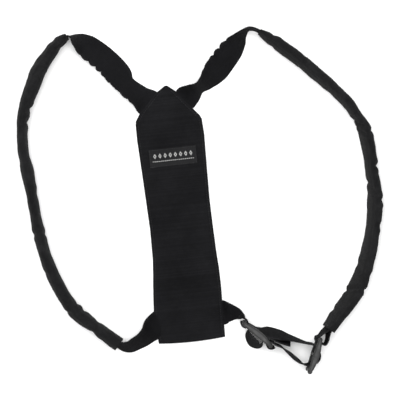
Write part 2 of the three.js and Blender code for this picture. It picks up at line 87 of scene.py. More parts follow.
# Scallops of the elastic's ruffled edge, and the smaller gathers between them
SCALLOP_PITCH = 12
SCALLOP_OUT = 1.8
SCALLOP_LIFT = 1.0
SCALLOP_DRIFT = 17  # run over which their pitch and size change
SCALLOP_SHIFT = 0.35  # share of a scallop by which the pitch drifts
SCALLOP_SIZE = 0.8
SCALLOP_VARIES = 1.5
LOBE_HIGH = 1.8
LOBE_BLUNT = 0.75
LOBE_DROP = 1.2
GATHER_PITCH = 3.1
GATHER_HIGH = 0.28
CUP_RUN = 52
CUP_HIGH = 0.35
BOW_RUN = 37  # of the slight bow in stiff webbing
BOW_HIGH = 0.18
YARN_PITCH = 1.9
YARN_HIGH = 0.05

# Sleeves: crumpling of the cloth, the sewn seam along one face, and stitches at the mouths
CRUMPLE_RUN = 15
CRUMPLE_HIGH = 0.55
FINE_RUN = 5.5
FINE_HIGH = 0.26
SLEEVE_SEAM_AT = 0.72
SLEEVE_SEAM_WIDE = 0.07
SLEEVE_SEAM_DEEP = 0.5
LIP_HIGH = 0.45  # of the raised lip on each side of a dent, as a share of its depth
LIP_AWAY = 1.9
PATCH_RUN = 21  # of the patches worn along a sleeve's edges
MOUTH_INSET = 3.5
MOUTH_REACH = 0.7

# Sewn boxes, as runs along their webbing
TAB_BOX = (36, 45)
ADJUSTER_BOX = (22, 34)
BOX_REACH = 0.78

SLIDER_LENGTH = 47
SLIDER_DEPTH = 8.2
SLIDER_BACK = 2.7
SLIDER_HEIGHT = 48
CHEEK_THICK = 4.6
CHEEK_BEVEL = 1.1
CHEEK_POINTS = 96
CHEEK_BLUNT = 0.8  # power that blunts a cheek's ends, where 1 is an ellipse
CHEEK_BELLY = 0.48  # share of its depth lost towards the ends
CHEEK_DISH = ((2.1, 0.35), (1.7, 0.0))  # inset and depth of the dish in each face
BAR_RADIUS = 2.2
MIDDLE_BAR_RADIUS = 2.4
BAR_OFFSET = 0.447 * SLIDER_LENGTH
BAR_SIDES = 36
BAR_RINGS = 22
BAR_SUNK = 0.8  # how far its ends reach into the cheeks
BAR_FLARE = 0.9
FLARE_RUN = 1.1
GROOVES = 9
GROOVE_DEEP = 0.12
RIM_WORN = 0.4  # width of the worn line round a cheek
LEFT_SLIDER = {"x": 0.155, "y": -0.3625, "heading": -39.6}
RIGHT_SLIDER = {"x": 0.309, "y": -0.4185, "heading": -107.9}

STITCH_PITCH = 3.1
STITCH_LENGTH = 2.3
THREAD_RADIUS = 0.24

CAMERA_HEIGHT = 2400
LENS = 168.75


def rows_of(columns, table):
    return [dict(zip(columns, row)) for row in table]


# Stations along each band: x and y are shares of SPREAD, or of SLIDER_LENGTH on a slider.
# roll is 0 where the band lies flat and 90 where it stands on edge.
# wide and thick are shares of the stock, lift is a share of its width.
# ruffle is how much of the scallop shows. USUAL holds for what a row leaves out, and is
# how the webbing stands round a slider's bar.
USUAL = {"roll": 90, "wide": 0.95, "thick": 1, "lift": 0.155, "ruffle": 0}
STRAP_COLUMNS = ("x", "y", "roll", "wide", "lift", "ruffle")
SLEEVE_COLUMNS = ("x", "y", "roll", "wide", "thick", "lift")
WEBBING_COLUMNS = ("on", "x", "y", "roll", "wide", "lift")
LEFT_STRAP = rows_of(STRAP_COLUMNS, [
    (-0.1213, 0.249, 0, 0.98, 0.038, 0),
    (-0.1414, 0.2651, 2, 0.98, 0.038, 0),
    (-0.1655, 0.284, 26, 0.84, 0.02, 0.6),
    (-0.2035, 0.314, 34, 0.84, 0, 1),
    (-0.2222, 0.3421, 22, 0.96, 0, 1),
    (-0.2604, 0.3831, 20, 0.93, 0, 1),
    (-0.3065, 0.418, 30, 0.96, 0, 0.4),
    (-0.3315, 0.4357, 55, 0.95, 0, 0),
    (-0.3534, 0.4454, 85, 0.98, 0, 0),
    (-0.3744, 0.4354, 87, 0.84, 0.115, 0),
    (-0.3893, 0.4219, 85, 0.8, 0.13, 0),
])
RIGHT_STRAP = rows_of(STRAP_COLUMNS, [
    (-0.067, 0.2564, 0, 0.86, 0.038, 0),
    (-0.045, 0.273, 4, 0.86, 0.038, 0.5),
    (-0.0215, 0.289, 42, 0.9, 0.02, 1),
    (-0.002, 0.305, 68, 0.96, 0, 1),
    (0.0163, 0.3207, 52, 0.86, 0, 0.8),
    (0.031, 0.3375, 34, 0.88, 0, 0.9),
    (0.046, 0.3562, 25, 0.94, 0, 1),
    (0.0665, 0.3833, 24, 0.92, 0, 1),
    (0.087, 0.4103, 31, 0.91, 0, 0.8),
    (0.1052, 0.4338, 54, 0.92, 0, 0.3),
    (0.1172, 0.451, 75, 0.98, 0, 0),
    (0.1324, 0.4644, 87, 0.98, 0, 0),
    (0.1519, 0.4618, 89, 0.9, 0.06, 0),
    (0.1696, 0.4509, 87, 0.82, 0.115, 0),
    (0.1872, 0.4387, 85, 0.8, 0.13, 0),
])
LEFT_SLEEVE = rows_of(SLEEVE_COLUMNS, [
    (-0.3608, 0.444, 88, 0.93, 0.65, 0.03),
    (-0.3743, 0.435, 86, 0.97, 1.04, 0.01),
    (-0.392, 0.4177, 84, 1, 1.27, 0),
    (-0.4125, 0.3906, 82, 1, 1.41, 0),
    (-0.4358, 0.3553, 80, 1, 1.6, 0),
    (-0.4517, 0.3147, 82, 1, 1.6, 0),
    (-0.4683, 0.2713, 84, 1, 1.42, 0),
    (-0.4796, 0.2279, 86, 1, 1.19, 0),
    (-0.4823, 0.1845, 90, 1, 1.05, 0),
    (-0.4788, 0.1302, 88, 1, 1.11, 0),
    (-0.4679, 0.076, 84, 1, 1.38, 0),
    (-0.4571, 0.0217, 88, 1, 1.16, 0),
    (-0.4476, -0.0326, 90, 1, 1.1, 0),
    (-0.4377, -0.082, 87, 1, 1.25, 0),
    (-0.4228, -0.1415, 88, 1, 1.24, 0),
    (-0.4067, -0.1852, 86, 1, 1.36, 0),
    (-0.3864, -0.2288, 86, 1, 1.4, 0),
    (-0.3608, -0.2724, 88, 1, 1.38, 0),
    (-0.338, -0.3022, 84, 1, 1.53, 0),
    (-0.3132, -0.3232, 88, 1, 1.5, 0),
    (-0.2865, -0.3422, 90, 1, 1.25, 0),
    (-0.2642, -0.3593, 88, 1, 1.39, 0),
    (-0.2425, -0.3757, 86, 1, 1.48, 0),
    (-0.219, -0.3925, 82, 0.98, 1.5, 0.01),
])
RIGHT_SLEEVE = rows_of(SLEEVE_COLUMNS, [
    (0.1614, 0.4565, 88, 0.93, 0.5, 0.03),
    (0.179, 0.444, 86, 0.97, 0.82, 0.01),
    (0.207, 0.4268, 84, 1, 1.08, 0),
    (0.2341, 0.4063, 84, 1, 1.22, 0),
    (0.2641, 0.3848, 86, 1, 1.24, 0),
    (0.2969, 0.3579, 86, 1, 1.24, 0),
    (0.3321, 0.3281, 84, 1, 1.16, 0),
    (0.3701, 0.2942, 86, 1, 1.05, 0),
    (0.4027, 0.2614, 87, 1, 1.14, 0),
    (0.4245, 0.2306, 90, 1, 0.98, 0),
    (0.4421, 0.2007, 82, 1, 1.06, 0),
    (0.453, 0.1628, 79, 1, 1.08, 0),
    (0.461, 0.1194, 81, 1, 1.1, 0),
    (0.4653, 0.0814, 85, 1, 1.12, 0),
    (0.4718, 0.0434, 82, 1, 1.14, 0),
    (0.4743, 0, 77, 1, 1.17, 0),
    (0.473, -0.038, 77, 1, 1.14, 0),
    (0.4676, -0.0868, 78, 1, 1.1, 0),
    (0.4582, -0.1358, 73, 1, 1.02, 0),
    (0.4463, -0.1844, 73, 1, 1.09, 0),
    (0.428, -0.2312, 70, 1, 1.16, 0),
    (0.405, -0.272, 70, 1, 1.03, 0),
    (0.3798, -0.3052, 72, 1, 1, 0),
    (0.3584, -0.3345, 76, 1, 1.04, 0),
    (0.3485, -0.3494, 80, 0.98, 1.12, 0.01),
])
LEFT_LOWER = rows_of(WEBBING_COLUMNS, [
    (None, -0.2523, -0.3716, 84, 0.82, 0.115),
    (None, -0.236, -0.3833, 79, 0.84, 0.105),
    (None, -0.216, -0.395, 71, 0.9, 0.08),
    (None, -0.203, -0.399, 67, 1, 0),
    (None, -0.1888, -0.3983, 64, 1, 0),
    (None, -0.1727, -0.3896, 61, 1, 0),
    (None, -0.155, -0.3795, 58, 1, 0),
    (None, -0.1385, -0.365, 50, 0.98, 0.02),
    (None, -0.1225, -0.3485, 25, 0.97, 0.035),
    (None, -0.1065, -0.3375, 5, 0.95, 0.035),
    (None, -0.0955, -0.3305, 0, 0.94, 0.035),
])
TAB = rows_of(WEBBING_COLUMNS, [
    (None, 0.0328, -0.3042, 0, 0.82, 0.035),
    (None, 0.0478, -0.3056, 0, 0.82, 0.035),
    (None, 0.0629, -0.3072, 3, 0.82, 0.035),
    (None, 0.0822, -0.307, 43, 0.86, 0.02),
    (None, 0.1, -0.3097, 63, 0.94, 0.04),
    (None, 0.1155, -0.3172, 78, 0.95, 0.12),
    (LEFT_SLIDER, -0.53, 0.098, 88, 0.95, 0.155),
    (LEFT_SLIDER, -0.43, 0.1),
    (LEFT_SLIDER, -0.35, 0.036),
    (LEFT_SLIDER, -0.356, -0.05),
    (LEFT_SLIDER, -0.445, -0.086),
    (LEFT_SLIDER, -0.52, -0.052),
    (LEFT_SLIDER, -0.545, -0.012),
])
ADJUSTER = rows_of(WEBBING_COLUMNS, [
    (LEFT_SLIDER, 0.58, 0.036),
    (LEFT_SLIDER, 0.545, -0.043),
    (LEFT_SLIDER, 0.447, -0.092),
    (LEFT_SLIDER, 0.36, -0.047),
    (LEFT_SLIDER, 0.353, 0.034),
    (LEFT_SLIDER, 0.43, 0.09),
    (LEFT_SLIDER, 0.55, 0.094, 90, 0.95, 0.15),
    (None, 0.218, -0.3962, 90, 0.96, 0.1),
    (None, 0.24, -0.413, 84, 0.96, 0.08),
    (None, 0.2608, -0.4315, 82, 0.96, 0.1),
    (None, 0.2775, -0.444, 86, 0.95, 0.14),
    (RIGHT_SLIDER, 0.31, -0.08),
    (RIGHT_SLIDER, 0.22, 0.01),
    (RIGHT_SLIDER, 0.175, 0.11),
    (RIGHT_SLIDER, 0.05, 0.158),
    (RIGHT_SLIDER, -0.095, 0.118),
    (RIGHT_SLIDER, -0.175, 0.01),
    (RIGHT_SLIDER, -0.25, -0.09),
    (None, 0.2885, -0.387, 90, 0.95, 0.13),
    (None, 0.2708, -0.3818, 87, 0.96, 0.08),
    (None, 0.2437, -0.3737, 82, 0.97, 0.02),
    (None, 0.2166, -0.3663, 74, 0.97, 0.01),
    (None, 0.1841, -0.3582, 73, 0.97, 0.03),
    (LEFT_SLIDER, 0.043, 0.132, 80, 0.95, 0.13),
    (LEFT_SLIDER, -0.106, 0.094, 88, 0.95, 0.155),
    (LEFT_SLIDER, -0.202, 0.011),
    (LEFT_SLIDER, -0.215, -0.08, 87, 0.95, 0.155),
    (LEFT_SLIDER, -0.125, -0.185, 76, 0.95, 0.13),
    (LEFT_SLIDER, 0.08, -0.255, 70, 0.95, 0.11),
    (LEFT_SLIDER, 0.25, -0.2, 76, 0.95, 0.13),
    (LEFT_SLIDER, 0.25, -0.09, 87, 0.95, 0.155),
    (LEFT_SLIDER, 0.195, 0.01),
    (LEFT_SLIDER, 0.23, 0.1, 91, 0.95, 0.155),
    (LEFT_SLIDER, 0.385, 0.172, 95, 0.95, 0.12),
    (None, 0.218, -0.377, 104, 0.97, 0.02),
    (None, 0.246, -0.3824, 109, 0.96, 0),
])
END_LOOP = rows_of(WEBBING_COLUMNS, [
    (None, 0.3555, -0.3338, 79, 0.82, 0.115),
    (None, 0.3447, -0.349, 82, 0.84, 0.11),
    (None, 0.3325, -0.358, 86, 0.9, 0.12),
    (RIGHT_SLIDER, -0.5177, -0.0333, 90, 0.95, 0.15),
    (RIGHT_SLIDER, -0.46, -0.095),
    (RIGHT_SLIDER, -0.37, -0.07),
    (RIGHT_SLIDER, -0.31, 0.01),
    (RIGHT_SLIDER, -0.35, 0.092),
    (RIGHT_SLIDER, -0.3526, 0.1844),
    (RIGHT_SLIDER, -0.476, 0.2102, 92, 0.95, 0.15),
    (None, 0.3462, -0.367, 94, 0.92, 0.13),
    (None, 0.349, -0.356, 96, 0.86, 0.115),
    (None, 0.3535, -0.347, 97, 0.84, 0.11),
    (None, 0.36, -0.337, 99, 0.82, 0.115),
])
PANEL_OUTLINE = rows_of(("up", "left", "right"), [
    (0, 1.015, 1),
    (0.06, 1.035, 1.015),
    (0.127, 1.065, 1.03),
    (0.2, 1.02, 1.045),
    (0.27, 0.965, 1.04),
    (0.33, 0.925, 1.015),
    (0.45, 0.91, 0.99),
    (0.54, 0.935, 0.98),
    (0.64, 0.962, 0.998),
    (0.8, 1.01, 1.03),
    (SHOULDER_UP, 1.005, 1.003),
    (0.873, 0.99, 0.95),
    (0.9, 0.855, 0.775),
    (0.978, 0.265, 0.285),
    (1, 0.01, 0.07),
])

# Creases right across the panel: up, skew and run are shares of its length, deep of its thickness.
PANEL_CREASES = rows_of(("up", "skew", "run", "deep"), [
    (0.09, 0.01, 0.025, 0.07),
    (0.23, 0.006, 0.021, 0.14),
    (0.46, -0.01, 0.03, 0.07),
    (0.62, 0.012, 0.028, 0.06),
])
# Soft dents: x is a share of the width, up and run are shares of the length.
PANEL_DENTS = rows_of(("x", "up", "run", "deep"), [
    (0.1, 0.21, 0.05, 0.12),
    (-0.12, 0.79, 0.035, 0.1),
    (0.2, 0.55, 0.05, 0.05),
    (-0.2, 0.36, 0.045, 0.05),
    (0.05, 0.93, 0.03, -0.04),
])
# Loose thread ends at the label's lower left corner
THREAD_ENDS = rows_of(("x", "y", "reach", "curl"), [
    (-1.6, -0.4, 4.5, -1.4),
    (0.6, -1.0, 3.2, 1.1),
    (3.5, -0.6, 2.6, -0.9),
])

# Finish of each cloth: dye is a linear colour, wear and lint are the shares mixed in,
# rough and shine go to the shader, relief is the depth of the weave in millimetres.
FINISHES = rows_of(("cloth", "dye", "wear", "lint", "rough", "shine", "relief"), [
    ("panel_cloth", (0.0076, 0.0076, 0.0085), 0.03, 0.022, 0.92, 0.06, 0.2),
    ("label_cloth", (0.0093, 0.0093, 0.0101), 0.03, 0.022, 0.7, 0.1, 0.06),
    ("elastic_cloth", (0.0062, 0.0062, 0.007), 0.07, 0.022, 0.85, 0.06, 0.3),
    ("sleeve_cloth", (0.0064, 0.0064, 0.0068), 0.06, 0.035, 0.95, 0.07, 0.24),
    ("webbing_cloth", (0.0064, 0.0064, 0.007), 0.1, 0.022, 0.9, 0.03, 0.35),
])
FADED = (0.16, 0.16, 0.165, 1)
LINT = (0.6, 0.6, 0.6, 1)
THREAD_DARK = (0.014, 0.014, 0.015, 1)
THREAD_LIGHT = (0.034, 0.034, 0.036, 1)
PLASTIC_DARK = (0.012, 0.012, 0.012, 1)
PLASTIC_LIGHT = (0.021, 0.021, 0.021, 1)
PLASTIC_RUBBED = (0.07, 0.07, 0.07, 1)
GREY_INK = (0.5, 0.5, 0.49, 1)
WHITE = (1, 1, 1, 1)
BLACK = (0, 0, 0, 1)
RELIEF_STRENGTH = 0.8

# The label's ornament: a row of diamonds over a broken line
DIAMOND_PITCH = 6.6
DIAMOND_UP = 2.6
DIAMOND_HIGH = 6.4
DIAMOND_HOLLOW = 0.45  # share of a diamond that is left bare inside
DASH_PITCH = 1.3
DASH_LONG = 0.85
LINE_HALF = 0.45
ORNAMENT_WIDTH = 52.8

# Light: name, place in metres, size in metres and power
WORLD_STRENGTH = 0.5
SOFT_LIGHTS = (
    ("top_light", (0.05, 0.1, 2.7), 1.6, 80),
    ("key_light", (-1.4, 1.6, 2.6), 2.2, 40),
)

# Dents in the sleeves: at is the station, side is 1 or -1 for one face and 0 for both,
# deep is a share of the sleeve's thickness, run and slant are shares of its width.
DENT_COLUMNS = ("at", "side", "deep", "run", "slant")
LEFT_DENTS = rows_of(DENT_COLUMNS, [
    (1.8, 0, 0.06, 0.09, 0.2),
    (3.9, 1, 0.05, 0.12, -0.3),
    (6.5, -1, 0.17, 0.1, 0.25),
    (7.35, -1, 0.13, 0.08, -0.15),
    (9.4, 1, 0.06, 0.14, 0.3),
    (11.2, -1, 0.06, 0.12, 0.2),
    (13.2, 0, 0.09, 0.08, -0.2),
    (15.1, 1, 0.05, 0.1, 0.3),
    (17.6, 0, 0.1, 0.08, 0.3),
    (18.5, -1, 0.12, 0.09, -0.2),
    (20.1, 0, 0.06, 0.09, 0.2),
    (21.8, 1, 0.04, 0.1, -0.3),
])
RIGHT_DENTS = rows_of(DENT_COLUMNS, [
    (1.7, 0, 0.07, 0.09, -0.2),
    (4.1, -1, 0.05, 0.12, 0.3),
    (6.6, 1, 0.05, 0.12, -0.3),
    (9.5, 1, 0.22, 0.1, 0.45),
    (10.1, 0, 0.15, 0.07, 0.5),
    (12.95, -1, 0.16, 0.08, -0.3),
    (14.1, 1, 0.15, 0.1, 0.45),
    (14.65, -1, 0.18, 0.08, 0.5),
    (16.8, -1, 0.08, 0.1, -0.3),
    (19.1, 0, 0.07, 0.1, 0.3),
    (20.35, 0, 0.13, 0.07, -0.35),
    (22.4, 1, 0.09, 0.08, 0.3),
])


# Curves and bands


def curve(points, at, even, tension=0.4):
    """Points at the shares `at` of a smooth curve, evenly eased or with a set tension."""
    points = np.asarray(points, float)
    place = at * (len(points) - 1)
    first = np.minimum(place.astype(int), len(points) - 2)
    part = (place - first)[:, None]
    ends = np.vstack([2 * points[:1] - points[1:2], points, 2 * points[-1:] - points[-2:-1]])
    a, b, c, d = (ends[first + k] for k in range(4))
    out, into = tension * (c - a), tension * (d - b)
    if even:
        before, between, after = (
            np.maximum(np.sqrt(np.linalg.norm(q - p, axis=1)), 1e-6)[:, None]
            for p, q in ((a, b), (b, c), (c, d))
        )
        out = between * ((b - a) / before - (c - a) / (before + between) + (c - b) / between)
        into = between * ((c - b) / between - (d - b) / (between + after) + (d - c) / after)
    square = 3 * (c - b) - 2 * out - into
    cube = 2 * (b - c) + out + into
    return b + out * part + square * part**2 + cube * part**3


def run_along(line):
    """How far along a line of points each one lies."""
    steps = np.linalg.norm(np.diff(line, axis=0), axis=1)
    return np.concatenate([[0], np.cumsum(steps)])


def points_at(at, run, line):
    """Points of a line at given runs along it."""
    return np.stack([np.interp(at, run, column) for column in np.asarray(line).T], axis=1)


def turned(foot, turn, x, y):
    """Plan place of a point given in directions turned about a foot."""
    return (
        ORIGIN[0] + foot[0] + x * math.cos(turn) - y * math.sin(turn),
        ORIGIN[1] + foot[1] + x * math.sin(turn) + y * math.cos(turn),
    )


def on_slider(slider, along, across):
    """Plan place of a point given along and across a slider."""
    foot = (slider["x"] * SPREAD, slider["y"] * SPREAD)
    return turned(foot, math.radians(slider["heading"]), along, across)


def place_of(row):
    if row.get("on"):
        return on_slider(row["on"], row["x"] * SLIDER_LENGTH, row["y"] * SLIDER_LENGTH)
    return (ORIGIN[0] + row["x"] * SPREAD, ORIGIN[1] + row["y"] * SPREAD)


def tape_section(columns, rounding):
    """Thin section: flat faces with half-round edges, as shares of half the width and thickness."""
    flat = np.linspace(-1 + rounding, 1 - rounding, columns)
    turn = np.radians([60, 30, 0, -30, -60])
    edge = [(1 - rounding + rounding * math.cos(t), math.sin(t)) for t in turn]
    top = [(a, 1) for a in flat]
    low = [(a, -1) for a in flat[::-1]]
    return np.array(top + edge + low + [(-a, -b) for a, b in edge])


def padded_section(count, power):
    """Plump section of a padded sleeve, as shares of half its width and thickness."""
    turn = 2 * np.pi * (np.arange(count) + 0.5) / count
    shape = [np.sign(f(turn)) * np.abs(f(turn)) ** (2 / power) for f in (np.cos, np.sin)]
    return np.stack(shape, axis=1) / max(shape[0])


def scallops(run, ruffle):
    """How far a ruffled edge reaches out along its run, uneven in pitch and size."""
    uneven = np.array([noise.noise(Vector((r / SCALLOP_DRIFT, 0.7, 0))) for r in run])
    phase = np.pi * (run / SCALLOP_PITCH + SCALLOP_SHIFT * uneven)
    lobe = LOBE_HIGH * np.abs(np.sin(phase)) ** LOBE_BLUNT - LOBE_DROP
    return np.sqrt(np.maximum(ruffle, 0)) * lobe * (SCALLOP_SIZE + SCALLOP_VARIES * uneven)


def sweep(rows, stock, section, wave=None, swell=None):
    """Points of a band as a grid of stations by section points, with its real-size cloth map."""
    steps = (len(rows) - 1) * stock["cuts"]
    at = np.linspace(0, 1, steps + 1)
    path = [place_of(row) for row in rows]
    centre = curve(path, at, True)
    ahead = curve(path, np.minimum(at + 1e-4, 1), True) - curve(path, np.maximum(at - 1e-4, 0), True)
    ahead /= np.linalg.norm(ahead, axis=1)[:, None]
    values = curve([[row.get(name, USUAL[name]) for name in USUAL] for row in rows], at, False)
    roll, wide, thick, lift, ruffle = values.T
    roll = np.radians(roll)
    run = run_along(centre)
    a, b = section.T
    half_width = stock["width"] * wide / 2
    half_thick = stock["thick"] * thick / 2
    rise = np.outer(half_width * np.sin(roll), a) + np.outer(half_thick * np.cos(roll), b)
    height = np.maximum(lift, 0) * stock["width"] - rise.min(axis=1)
    flat = np.zeros_like(roll)
    side = np.stack([-ahead[:, 1], ahead[:, 0], flat], axis=1)
    up = np.array([0, 0, 1])
    across = side * np.cos(roll)[:, None] + up * np.sin(roll)[:, None]
    face = up * np.cos(roll)[:, None] - side * np.sin(roll)[:, None]
    middle = np.column_stack([centre, height])
    out = np.outer(half_width, a)
    off = np.outer(half_thick, b)
    edge = np.outer(scallops(run, ruffle), np.maximum(a, 0) ** 3)
    out += edge * SCALLOP_OUT
    off += edge * SCALLOP_LIFT
    if wave:
        off += wave(run[:, None], a[None, :], ruffle[:, None])
    points = middle[:, None] + across[:, None] * out[..., None] + face[:, None] * off[..., None]
    if swell:
        place = at * (len(rows) - 1)
        points += normals_of(points) * swell(run, place, a, b)[..., None]
    points[..., 2] = np.maximum(points[..., 2], 0)
    ring = points[steps // 2]
    ring = np.vstack([ring, ring[:1]])
    return {"points": points, "run": run, "around": run_along(ring), "face": face, "section": section}


def normals_of(points):
    """Outward directions of a grid of points that closes on itself from ring to ring."""
    along = np.gradient(points, axis=0)
    round_about = np.roll(points, -1, axis=1) - np.roll(points, 1, axis=1)
    normal = np.cross(along, round_about)
    outward = points - points.mean(axis=1, keepdims=True)
    normal *= np.sign((normal * outward).sum(axis=(1, 2)))[:, None, None]
    return normal / np.maximum(np.linalg.norm(normal, axis=2), 1e-9)[..., None]


# Meshes


def grid_faces(rings, count):
    """Quads between rings of a closed grid, and the grid places of each quad's corners."""
    i, j = np.meshgrid(np.arange(rings - 1), np.arange(count), indexing="ij")
    i, j = i.ravel(), j.ravel()
    corners = [(i, j), (i, j + 1), (i + 1, j + 1), (i + 1, j)]
    faces = np.stack([r * count + c % count for r, c in corners], axis=1)
    return faces, corners


def closed_faces(rings, count):
    """Faces of a tube of rings, with a cap at each end."""
    quads, _ = grid_faces(rings, count)
    last = (rings - 1) * count
    return quads.tolist() + [list(range(count)), [last + k for k in range(count)]]


def make_piece(name, points, faces, material, maps=None, wear_and_shade=None):
    """A mesh object in metres from points in millimetres, with its faces outward.
    maps holds the cloth map at each point or at each corner of each face."""
    mesh = bpy.data.meshes.new(name)
    mesh.from_pydata((np.asarray(points) * MM).tolist(), [], faces)
    mesh.polygons.foreach_set("use_smooth", np.array([len(face) == 4 for face in faces]))
    if maps is not None:
        maps = np.asarray(maps, float)
        if len(maps) == len(points):
            maps = maps[np.concatenate(faces)]
        layer = mesh.uv_layers.new(name="cloth")
        layer.data.foreach_set("uv", maps.ravel())
    if wear_and_shade is not None:
        mark = mesh.attributes.new("wear_and_shade", "FLOAT", "POINT")
        mark.data.foreach_set("value", np.asarray(wear_and_shade, float))
    edit = bmesh.new()
    edit.from_mesh(mesh)
    bmesh.ops.recalc_face_normals(edit, faces=edit.faces)
    edit.to_mesh(mesh)
    edit.free()
    made = bpy.data.objects.new(name, mesh)
    bpy.context.scene.collection.objects.link(made)
    mesh.materials.append(material)
    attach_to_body(made, "root")
    return made


def band_piece(name, band, material, replaced, wear_and_shade):
    """A band's mesh, closed at both ends, standing for its CAD node."""
    grid = band["points"]
    rings, count = grid.shape[:2]
    _, corners = grid_faces(rings, count)
    maps = [np.stack([band["run"][r], band["around"][c]], axis=1) for r, c in corners]
    maps = np.stack(maps, axis=1).reshape(-1, 2)
    ends = np.stack([np.zeros(count), band["around"][:-1]], axis=1)
    maps = np.vstack([maps, ends, ends])
    faces = closed_faces(rings, count)
    made = make_piece(name, grid.reshape(-1, 3), faces, material, maps, wear_and_shade(band).ravel())
    return stands_for(made, replaced)


def tube(points, radii, sides=6):
    """A closed tube along points in millimetres: its points and faces."""
    points = np.asarray(points, float)
    ahead = np.gradient(points, axis=0)
    ahead /= np.maximum(np.linalg.norm(ahead, axis=1), 1e-9)[:, None]
    level = np.array([0.3, 0.2, 0.93])
    side = np.cross(ahead, level)
    side /= np.linalg.norm(side, axis=1)[:, None]
    top = np.cross(side, ahead)
    turn = 2 * np.pi * np.arange(sides) / sides
    around = side[:, None] * np.cos(turn)[:, None] + top[:, None] * np.sin(turn)[:, None]
    grid = points[:, None] + around * np.asarray(radii, float)[:, None, None]
    return grid.reshape(-1, 3), closed_faces(len(points), sides)


def stands_for(made, node):
    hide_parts(node)
    return made


def join_shells(shells):
    """One list of points and one of faces from several closed shells."""
    points, faces, start = [], [], 0
    for shell_points, shell_faces in shells:
        points.append(np.asarray(shell_points))
        faces += [[start + k for k in face] for face in shell_faces]
        start += len(shell_points)
    return np.vstack(points), faces


def stitches(line, out):
    """Short threads along a line of points. out is the direction away from the cloth at each."""
    line, out = np.asarray(line, float), np.asarray(out, float)
    run = run_along(line)
    shells = []
    for start in np.arange(0, run[-1] - STITCH_LENGTH, STITCH_PITCH):
        at = start + STITCH_LENGTH * np.array([0, 0.15, 0.5, 0.85, 1])
        centre = points_at(at, run, line)
        away = points_at(at, run, out)
        height = THREAD_RADIUS * np.array([-1, 0.1, 0.5, 0.1, -1])
        radii = THREAD_RADIUS * np.array([0.4, 0.9, 1, 0.9, 0.4])
        shells.append(tube(centre + away * height[:, None], radii))
    return shells


def stitching(name, shells, material):
    """One piece of many stitches."""
    points, faces = join_shells(shells)
    make_piece(name, points, faces, material)


def column_at(band, share, side):
    """The column of a band's points on one face that is nearest to a share of its half width."""
    across, through = band["section"].T
    return np.argmin(np.abs(across - share) + 4 * (through * side < 0.5))


def band_line(band, start, end, share, side):
    """A line on one face of a band, from one run to another at a share of its half width."""
    runs = np.linspace(start, end, max(3, int(abs(end - start))))
    line = points_at(runs, band["run"], band["points"][:, column_at(band, share, side)])
    return line, points_at(runs, band["run"], band["face"]) * side


def cross_line(band, run, low, high, side):
    """A line across one face of a band at one run, between two shares of its half width."""
    columns = [column_at(band, share, side) for share in np.linspace(low, high, 12)]
    ring = np.argmin(np.abs(band["run"] - run))
    face = np.repeat(band["face"][ring : ring + 1] * side, len(columns), axis=0)
    return band["points"][ring, columns], face


def stitch_box(band, box, side):
    """The sewn box that holds a fold of a band, on one face."""
    shells = []
    for share in (-BOX_REACH, BOX_REACH):
        shells += stitches(*band_line(band, *box, share, side))
    for run in box:
        shells += stitches(*cross_line(band, run, -BOX_REACH, BOX_REACH, side))
    return shells


# Panel


def on_panel(x, y, z):
    """A point given across and up the panel, in the frame."""
    return (*turned(PANEL_FOOT, PANEL_LEAN, x, y), z)


def panel_edge(side, up):
    rows = PANEL_OUTLINE
    return PANEL_WIDTH / 2 * np.interp(up, [row["up"] for row in rows], [row[side] for row in rows])


def edge_distance(x, y):
    """How far a point of the panel is from its nearest edge."""
    up = min(max(y / PANEL_LENGTH, 0), 1)
    inside = min(panel_edge("right", up) - x, panel_edge("left", up) + x)
    slope = math.sqrt(0.5) if up > SHOULDER_UP else 1
    return max(0, min(inside * slope, y + HEM_BOW))


def panel_dip(x, y):
    """Depth of the creases and soft dents in the padded face."""
    depth = 0
    for crease in PANEL_CREASES:
        off = (y / PANEL_LENGTH - crease["up"] - crease["skew"] * x / PANEL_WIDTH) / crease["run"]
        depth += crease["deep"] * PANEL_THICK * math.exp(-off * off)
    for dent in PANEL_DENTS:
        off = (y / PANEL_LENGTH - dent["up"]) ** 2 + (x - dent["x"] * PANEL_WIDTH) ** 2 / PANEL_LENGTH**2
        depth += dent["deep"] * PANEL_THICK * math.exp(-off / dent["run"] ** 2)
    return depth


def panel_top(x, y):
    """Height of the padded face, with its sewn channel, creases and loose ripples."""
    away = edge_distance(x, y)
    rise = 1 - (1 - min(1, away / CROWN_RUN)) ** 2
    seam = math.exp(-(((away - SEAM_INSET) / SEAM_REACH) ** 2))
    broad = noise.noise(Vector((x / RIPPLE_BROAD[0], y / RIPPLE_BROAD[1], 2.1)))
    fine = noise.noise(Vector((x / RIPPLE_FINE[0], y / RIPPLE_FINE[1], 5.7)))
    ripple = broad + 0.5 * fine
    gather = math.sin(2 * math.pi * (x + y) / PUCKER_PITCH)
    pucker = PUCKER_DEEP * gather * math.exp(-(((away - SEAM_INSET) / PUCKER_REACH) ** 2))
    top = PANEL_RIM + (PANEL_THICK - PANEL_RIM) * rise - panel_dip(x, y) * rise
    return top - SEAM_DEEP * seam + RIPPLE_HIGH * ripple * rise + pucker


